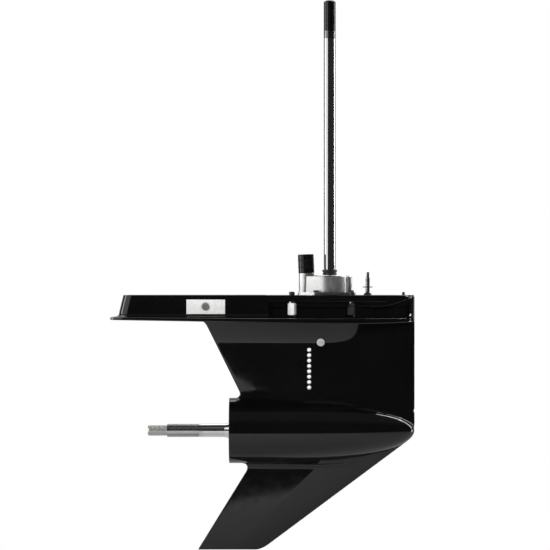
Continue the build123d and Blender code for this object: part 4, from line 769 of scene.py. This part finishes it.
def dark_polymer(name, tone, rough, relief):
    """Moulded rubber or plastic: a near-black tone with a soft bloom and fine grain."""
    tone, bloom = np.array(tone), (120.0, 5.0)
    return surfaced(name, (tone * 0.8, tone * 1.3), (rough * 0.8, rough * 1.3),
                    (bloom, bloom, (700.0, 2.0), relief), ior=1.4)


def stage_material(name, colour, rough):
    """Matt studio board with a very faint unevenness, which glossy surfaces mirror a good deal darker."""
    material, tree, shader, place = node_material(name)
    colour, mirrored = np.array(colour), 0.58
    plain = tinted(tree, noise_of(tree, place, 3.0), colour * 0.99, colour)
    glossy = added(tree, "ShaderNodeLightPath", "Is Glossy Ray", {})
    shade = mixed(tree, glossy, plain, (*(colour * mirrored), 1.0))
    fed(tree, shader, {"Base Color": shade, "Roughness": rough})
    return material


def zoned_steel(name, axis, edges, tones, roughs, stretch):
    """Steel in zones along an axis: steps of the object's own coordinate pick a zone's tone and gloss."""
    material, tree, shader, place = node_material(name)
    along, edge_blur = axis_of(tree, place, axis), 0.0008
    marks = noise_of(tree, place, 40.0, 4.0, stretch)
    colour = tinted(tree, marks, np.array(tones[0]) * 0.88, tones[0])
    rough = between(tree, marks, roughs[0] * 0.75, roughs[0] * 1.35)
    for edge, tone, gloss in zip(edges, tones[1:], roughs[1:]):
        step = between(tree, along, 0.0, 1.0, edge - edge_blur, edge + edge_blur)
        colour = mixed(tree, step, colour, tinted(tree, marks, np.array(tone) * 0.85, tone))
        rough = mixed(tree, step, rough, between(tree, marks, gloss * 0.75, gloss * 1.3), "FLOAT")
    fed(tree, shader, {"Base Color": colour, "Roughness": rough, "Metallic": 1.0,
                       "Normal": bumped(tree, marks, SMOOTH)})
    return material


MATERIALS = {}


def materials(settings):
    """The finish of each material slot of the record, and of the pieces that have one of their own."""
    if MATERIALS:
        return MATERIALS
    along_z, along_x = (3.0, 3.0, 60.0), (60.0, 3.0, 3.0)
    turned_x, ground_x, nut_cap = (6.0, 1.0, 1.0), (8.0, 1.0, 1.0), -0.006
    MATERIALS.update({
        "gloss_black": paint(settings),
        "pump_silver": cast_silver(settings),
        "chrome": metal("polished_steel", (0.8, 0.8, 0.79), (0.7, 0.7, 0.7), 0.1, 40.0, along_z, SMOOTH),
    })
    for make, name, *looks in (
        (zoned_steel, "drive_steel", "Z", (0.474, 0.488),
         ((0.62, 0.62, 0.61), (0.2, 0.2, 0.2), (0.08, 0.08, 0.082)), (0.1, 0.22, 0.3), along_z),
        (zoned_steel, "prop_steel", "X", (-0.3015, -0.2342),
         ((0.5, 0.49, 0.47), (0.66, 0.66, 0.65), (0.8, 0.8, 0.79)), (0.22, 0.2, 0.1), along_x),
        (metal, "stainless", (0.66, 0.66, 0.64), (0.54, 0.54, 0.53), 0.2, 90.0, (4.0, 1.0, 4.0), FINE),
        (metal, "bearing_steel", (0.58, 0.58, 0.59), (0.47, 0.47, 0.48), 0.2, 80.0, ground_x, FINE / 2),
        (metal, "gear_steel", (0.44, 0.44, 0.45), (0.32, 0.32, 0.33), 0.32, 60.0, turned_x, FINE),
        (metal, "bronze", (0.62, 0.43, 0.21), (0.5, 0.34, 0.16), 0.28, 60.0, turned_x, FINE),
        (plated, "anode_metal", (0.72, 0.72, 0.705), 0.25, 0.42, 150.0, GRAINY),
        (plated, "plated_steel", (0.6, 0.6, 0.59), 0.5, 0.25, 40.0, SMOOTH),
        (plated, "bolt_steel", (0.6, 0.6, 0.59), 0.88, 0.25, 40.0, SMOOTH),
        (plated, "deck_nuts", (0.85, 0.85, 0.84), 0.2, 0.25, 40.0, SMOOTH, nut_cap),
        (dark_polymer, "black_steel", (0.02, 0.02, 0.021), 0.3, SOFT),
        (dark_polymer, "rubber", (0.003, 0.003, 0.003), 0.1, FINE),
        (dark_polymer, "black_plastic", (0.014, 0.014, 0.015), 0.3, SOFT),
        (dark_polymer, "gasket", (0.06, 0.06, 0.065), 0.8, GRAINY),
    ):
        MATERIALS[name] = make(name, *looks)
    return MATERIALS


# Sizes and colours that a user may change

class LowerUnitLooks(bpy.types.PropertyGroup):
    """Finish of the painted case and the bare metal."""

    paint_colour: bpy.props.FloatVectorProperty(
        name="Paint colour", description="Tone of the gloss paint on the case",
        default=(0.0018, 0.0019, 0.002), min=0.0, max=1.0, size=3, subtype="COLOR")
    paint_roughness: bpy.props.FloatProperty(
        name="Paint roughness", description="Blur of the reflections in the paint",
        default=0.07, min=0.0, max=1.0, subtype="FACTOR")
    paint_peel: bpy.props.FloatProperty(
        name="Orange peel", description="Height of the fine waves in the paint",
        default=0.000004, min=0.0, max=0.001, unit="LENGTH")
    pump_colour: bpy.props.FloatVectorProperty(
        name="Pump colour", description="Tone of the cast pump housing",
        default=(0.74, 0.74, 0.73), min=0.0, max=1.0, size=3, subtype="COLOR")


class LowerUnitSizes(bpy.types.PropertyGroup):
    """Sizes of the detail pieces."""

    thread_pitch: bpy.props.FloatProperty(
        name="Thread pitch", description="Spacing of the ridges on the propeller thread",
        default=0.0018, min=0.001, max=0.004, unit="LENGTH")
    thread_ridge: bpy.props.FloatProperty(
        name="Thread ridge", description="Height of the ridges on the propeller thread",
        default=0.0004, min=0.0, max=0.001, unit="LENGTH")
    tube_radius: bpy.props.FloatProperty(
        name="Water tube radius", description="Outer radius of the rubber sleeve on the pump outlet",
        default=0.0147, min=0.012, max=0.0155, unit="LENGTH")


class LowerUnitStage(bpy.types.PropertyGroup):
    """Studio round the part."""

    floor_colour: bpy.props.FloatVectorProperty(
        name="Floor colour", description="Tone of the table under the part",
        default=(0.9, 0.9, 0.9), min=0.0, max=1.0, size=3, subtype="COLOR")
    floor_gap: bpy.props.FloatProperty(
        name="Floor gap", description="Space between the skeg's foot and the table",
        default=0.046, min=0.0, max=1.0, unit="LENGTH")
    lamp_power: bpy.props.FloatProperty(
        name="Lamp power", description="Strength of the overhead softbox in watts",
        default=26.0, min=0.0, max=1000.0)
    side_power: bpy.props.FloatProperty(
        name="Side lamp power", description="Strength of each side softbox in watts",
        default=15.0, min=0.0, max=1000.0)
    front_power: bpy.props.FloatProperty(
        name="Front lamp power", description="Strength of the fill light above the camera in watts",
        default=110.0, min=0.0, max=1000.0)


class LOWERUNIT_OT_case(bpy.types.Operator):
    """Build the painted gearcase: deck band, plate, strut, torpedo and skeg"""

    bl_idname = "lowerunit.case"
    bl_label = "Painted gearcase"

    def execute(self, context):
        black = materials(context.scene.lower_unit_looks)["gloss_black"]
        drive, prop, shift, duct = drive_bore(), prop_bore(), shift_bore(), duct_shell()
        bolts = [(-70.0, 43.0), (-70.0, -43.0), (39.5, 43.0), (39.5, -43.0)]
        sinks, holes = (joined([bar((x, y, low), (x, y, high), radius) for x, y in bolts])
                        for low, high, radius in ((PLATE_TOP, FLANGE_Z, 9.75), (FLANGE_Z - 1, ABOVE, 5.5)))
        flange, step = ([undercut(inset, top, side) for side in (1, -1)]
                        for inset, top in ((FLANGE_INSET, FLANGE_Z), (STEP_INSET, STEP_Z)))
        anodes, scoops = (joined([recess(1), recess(-1)]) for recess in (anode_recess, scoop))
        shells = {
            "case_deck": (deck_shell(), [*flange, *step, sinks, holes, anodes, well_shell(), drive, shift]),
            "case_plate": (plate_shell(), [drive, shift, duct]),
            "case_strut": (strut_shell(), [scoops, strut_bores(), drive, prop, shift, duct]),
            "case_torpedo": (torpedo_shell(), [prop, drive, shift, duct, drain_seat()]),
            "case_skeg": (skeg_shell(), [prop, skeg_dish(1), skeg_dish(-1)]),
            "case_nose_fillets": (nose_fillets(), []),
            "case_deck_edges": (deck_beads(), []),
        }
        for name, (mesh, cutters) in shells.items():
            part = piece(name, mesh, black, "gearcase")
            cut(part, cutters)
            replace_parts(part, "gearcase_housing")
        return {"FINISHED"}


class LOWERUNIT_OT_tube(bpy.types.Operator):
    """Build the rubber sleeve on the pump's outlet, with its moulded rings"""

    bl_idname = "lowerunit.tube"
    bl_label = "Water tube sleeve"

    def execute(self, context):
        foot, top, bore, rings, ring_height, foot_z = 10.0, 35.0, 11.6, (12.0, 24.5), 0.35, 40.3
        lean = math.radians(2.3)
        outer = context.scene.lower_unit_sizes.tube_radius / MM
        path = [(0.0, foot), (0.0, outer - 0.5), (0.5, outer)]
        for middle in rings:
            path += [(middle - 1.2, outer), (middle - 0.7, outer + ring_height),
                     (middle + 0.7, outer + ring_height), (middle + 1.2, outer)]
        path += [(top - 1.4, outer), (top - 0.2, outer - 0.8), (top, outer - 1.8), (top, bore),
                 (top - 0.8, bore - 1.0), (12.0, bore - 1.05), (11.6, foot)]
        place = [np.array(row) for row in (
            (TOWER_X, 0.0, foot_z), (-math.sin(lean), 0.0, math.cos(lean)),
            (math.cos(lean), 0.0, math.sin(lean)), (0.0, 1.0, 0.0))]
        sleeve = ring_mesh(rounded(path, 0.5, 4), 96, place)
        rubber = materials(context.scene.lower_unit_looks)["rubber"]
        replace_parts(piece("water_tube_sleeve", sleeve, rubber, "gearcase"), "water_tube_coupling")
        return {"FINISHED"}


class LOWERUNIT_OT_pump(bpy.types.Operator):
    """Build the smooth outer skin of the water pump and the sensor's hose barb"""

    bl_idname = "lowerunit.pump"
    bl_label = "Pump skin and hose barb"

    def execute(self, context):
        finish = materials(context.scene.lower_unit_looks)
        piece("pump_skin", pump_skin(), finish["pump_silver"], "gearcase", 40.0)
        piece("pitot_barb", pitot_barb(), finish["black_steel"], "gearcase", 30.0)
        return {"FINISHED"}


class LOWERUNIT_OT_thread(bpy.types.Operator):
    """Cut the thread's ridges into the end of the propeller shaft"""

    bl_idname = "lowerunit.thread"
    bl_label = "Propeller thread"

    def execute(self, context):
        aft, fore, root_r, end_drop, end_run = -336.2, -301.4, 9.45, 1.5, 1.6
        sizes = context.scene.lower_unit_sizes
        pitch, ridge = sizes.thread_pitch / MM, sizes.thread_ridge / MM
        station = np.linspace(aft, fore, 240)
        taper = clip01((station - aft) / end_run)
        profile = np.column_stack([station, root_r - end_drop * (1 - taper)])

        def wave(along, angle):
            """Height of a helical ridge: half a cosine of the angle less the turns run so far."""
            return ridge * 0.5 * (1 + np.cos(angle - 2 * np.pi * along / pitch))

        mesh = tube_mesh(turned(profile, 64, "X", z=AXIS_Z, wave=wave))
        steel = materials(context.scene.lower_unit_looks)["prop_steel"]
        piece("prop_thread", mesh, steel, "prop_shaft_line", sharp=60.0)
        return {"FINISHED"}


class LOWERUNIT_OT_finishes(bpy.types.Operator):
    """Give each carried-over part the procedural finish of its material slot"""

    bl_idname = "lowerunit.finishes"
    bl_label = "Part finishes"

    def execute(self, context):
        finish = materials(context.scene.lower_unit_looks)
        own = {"driveshaft": "drive_steel", "prop_shaft": "prop_steel", "anode_bolt": "bolt_steel",
               "port_anode": "anode_metal", "starboard_anode": "anode_metal",
               "aft_deck_bolts": "deck_nuts", "front_deck_bolts": "black_steel",
               "pump_bolts": "black_steel", "vent_screw": "plated_steel", "drain_screw": "black_steel",
               "speed_passage_plug": "gloss_black"}
        for sub in frame["record"]["subparts"]:
            node = frame["nodes"][sub["node"]]
            node.data.materials.clear()
            node.data.materials.append(finish[own.get(sub["node"], sub["material_slot"])])
        return {"FINISHED"}


class LOWERUNIT_OT_stage(bpy.types.Operator):
    """Set the table, the softboxes, the white surroundings and the camera"""

    bl_idname = "lowerunit.stage"
    bl_label = "Studio"

    def execute(self, context):
        side_x, front_y, back_y, board, board_roughness = 2.6, -1.9, 0.38, 0.03, 0.7
        stage = context.scene.lower_unit_stage
        level = CAD_LOW[2] - stage.floor_gap
        corners = np.array([(-side_x, front_y), (side_x, front_y), (side_x, back_y), (-side_x, back_y)]) / MM
        table = placed("table", to_mesh("table", prism(corners, (level - board) / MM, level / MM)))
        table.data.materials.append(stage_material("table_board", stage.floor_colour, board_roughness))
        table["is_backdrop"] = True
        side = stage.side_power
        # Each lamp's name, place, target, width and height, and watts
        for lamp in (
            ("overhead", (0.0, 1.1, 1.7), (0.0, -0.2, level), (2.6, 1.2), stage.lamp_power),
            ("left_box", (-1.43, -0.46, 0.15), (0.0, 0.0, 0.05), (1.9, 2.0), side),
            ("left_strip", (-1.6, 0.12, 0.1), (0.0, 0.0, 0.05), (0.25, 1.6), side * 0.45),
            ("right_low", (1.5, 0.36, -1.09), (0.15, 0.0, -1.09), (0.22, 1.92), side * 0.9),
            ("right_high", (1.5, 0.36, 0.805), (0.15, 0.0, 0.805), (0.22, 1.49), side * 0.7),
            ("right_top", (1.23, 0.39, 1.76), (0.15, 0.0, -0.25), (0.25, 0.95), side * 0.5),
            ("front_box", (-0.9, -3.0, 0.9), (0.0, 0.0, -0.1), (1.6, 0.8), stage.front_power),
        ):
            made = soft_lamp(*lamp)
        # The front box fills the shadows and stays out of reflections
        made.visible_glossy = False
        white_world()
        view = bpy.data.cameras.new("photo_camera")
        view.lens, view.sensor_width, view.clip_end = 159.2, 36.0, 50.0
        camera = placed("photo_camera", view)
        camera.location = (-0.1012, -4.5, 0.037)
        camera.rotation_euler = (math.pi / 2, 0.0, 0.0)
        context.scene.camera = camera
        context.scene.view_settings.view_transform = "Standard"
        return {"FINISHED"}


def soft_lamp(name, place, target, size, power):
    """Rectangular softbox that faces a point."""
    lamp = placed(name, bpy.data.lights.new(name, "AREA"))
    lamp.data.shape, lamp.data.energy = "RECTANGLE", power
    lamp.data.size, lamp.data.size_y = size
    lamp.location = place
    way = np.array(target) - np.array(place)
    rise = math.atan2(way[2], math.hypot(way[0], way[1]))
    lamp.rotation_euler = (math.pi / 2 + rise, 0.0, math.atan2(way[1], way[0]) - math.pi / 2)
    return lamp


def white_world():
    """White to the camera and dim to the lit surfaces; to reflections grey low down behind the part,
    almost black elsewhere and a little lighter overhead."""
    world = bpy.data.worlds.new("studio")
    bpy.context.scene.world = world
    world.use_nodes = True
    tree = world.node_tree
    tree.nodes.clear()
    way = added(tree, "ShaderNodeTexCoord", "Generated", {})
    away, up = axis_of(tree, way, "Y"), axis_of(tree, way, "Z")

    def background(colour):
        """Background of a constant colour or of a socket's value."""
        return added(tree, "ShaderNodeBackground", "Background", {"Color": colour})

    def chosen(ray, others, special):
        """One shader for a kind of ray, and another for all others."""
        factor = added(tree, "ShaderNodeLightPath", ray, {})
        return added(tree, "ShaderNodeMixShader", "Shader", {"Fac": factor, 1: others, 2: special})

    behind = between(tree, away, 0.0, 1.0, start=0.5, end=0.8)
    low = between(tree, up, 1.0, 0.0, start=0.55, end=0.75)
    both = added(tree, "ShaderNodeMath", "Value", {0: behind, 1: low}, operation="MULTIPLY")
    band = between(tree, both, 0.0, 0.5, start=0.0, end=1.0)
    overhead = between(tree, up, 0.03, 0.11, start=0.45, end=0.75)
    shine = added(tree, "ShaderNodeMath", "Value", {0: band, 1: overhead}, operation="ADD")
    mirrored = chosen("Is Glossy Ray", background((0.16, 0.16, 0.165, 1.0)), background(shine))
    seen = chosen("Is Camera Ray", mirrored, background((1.0, 1.0, 1.0, 1.0)))
    fed(tree, tree.nodes.new("ShaderNodeOutputWorld"), {"Surface": seen})


class LOWERUNIT_PT_panel(bpy.types.Panel):
    """Sidebar panel with the sizes, the finishes and one button for each piece"""

    bl_idname = "LOWERUNIT_PT_panel"
    bl_label = "Lower unit"
    bl_space_type = "VIEW_3D"
    bl_region_type = "UI"
    bl_category = "Lower unit"

    def draw(self, context):
        for name in GROUPS:
            group = getattr(context.scene, name)
            box = self.layout.box()
            for prop in group.bl_rna.properties:
                if prop.identifier not in ("rna_type", "name"):
                    box.prop(group, prop.identifier)
        for operator in OPERATORS:
            self.layout.operator(operator.bl_idname)


GROUPS = {"lower_unit_looks": LowerUnitLooks, "lower_unit_sizes": LowerUnitSizes,
          "lower_unit_stage": LowerUnitStage}
OPERATORS = (LOWERUNIT_OT_finishes, LOWERUNIT_OT_case, LOWERUNIT_OT_tube, LOWERUNIT_OT_pump,
             LOWERUNIT_OT_thread, LOWERUNIT_OT_stage)


def register():
    """Add the classes and the scene's property groups."""
    for cls in (*GROUPS.values(), *OPERATORS, LOWERUNIT_PT_panel):
        bpy.utils.register_class(cls)
    for name, group in GROUPS.items():
        setattr(bpy.types.Scene, name, bpy.props.PointerProperty(type=group))


def unregister():
    """Remove what register added."""
    for name in GROUPS:
        delattr(bpy.types.Scene, name)
    for cls in (LOWERUNIT_PT_panel, *reversed(OPERATORS), *GROUPS.values()):
        bpy.utils.unregister_class(cls)


def main():
    """Build everything in order."""
    register()
    for operator in OPERATORS:
        group, call = operator.bl_idname.split(".")
        getattr(getattr(bpy.ops, group), call)()


if __name__ == "__main__":
    main()
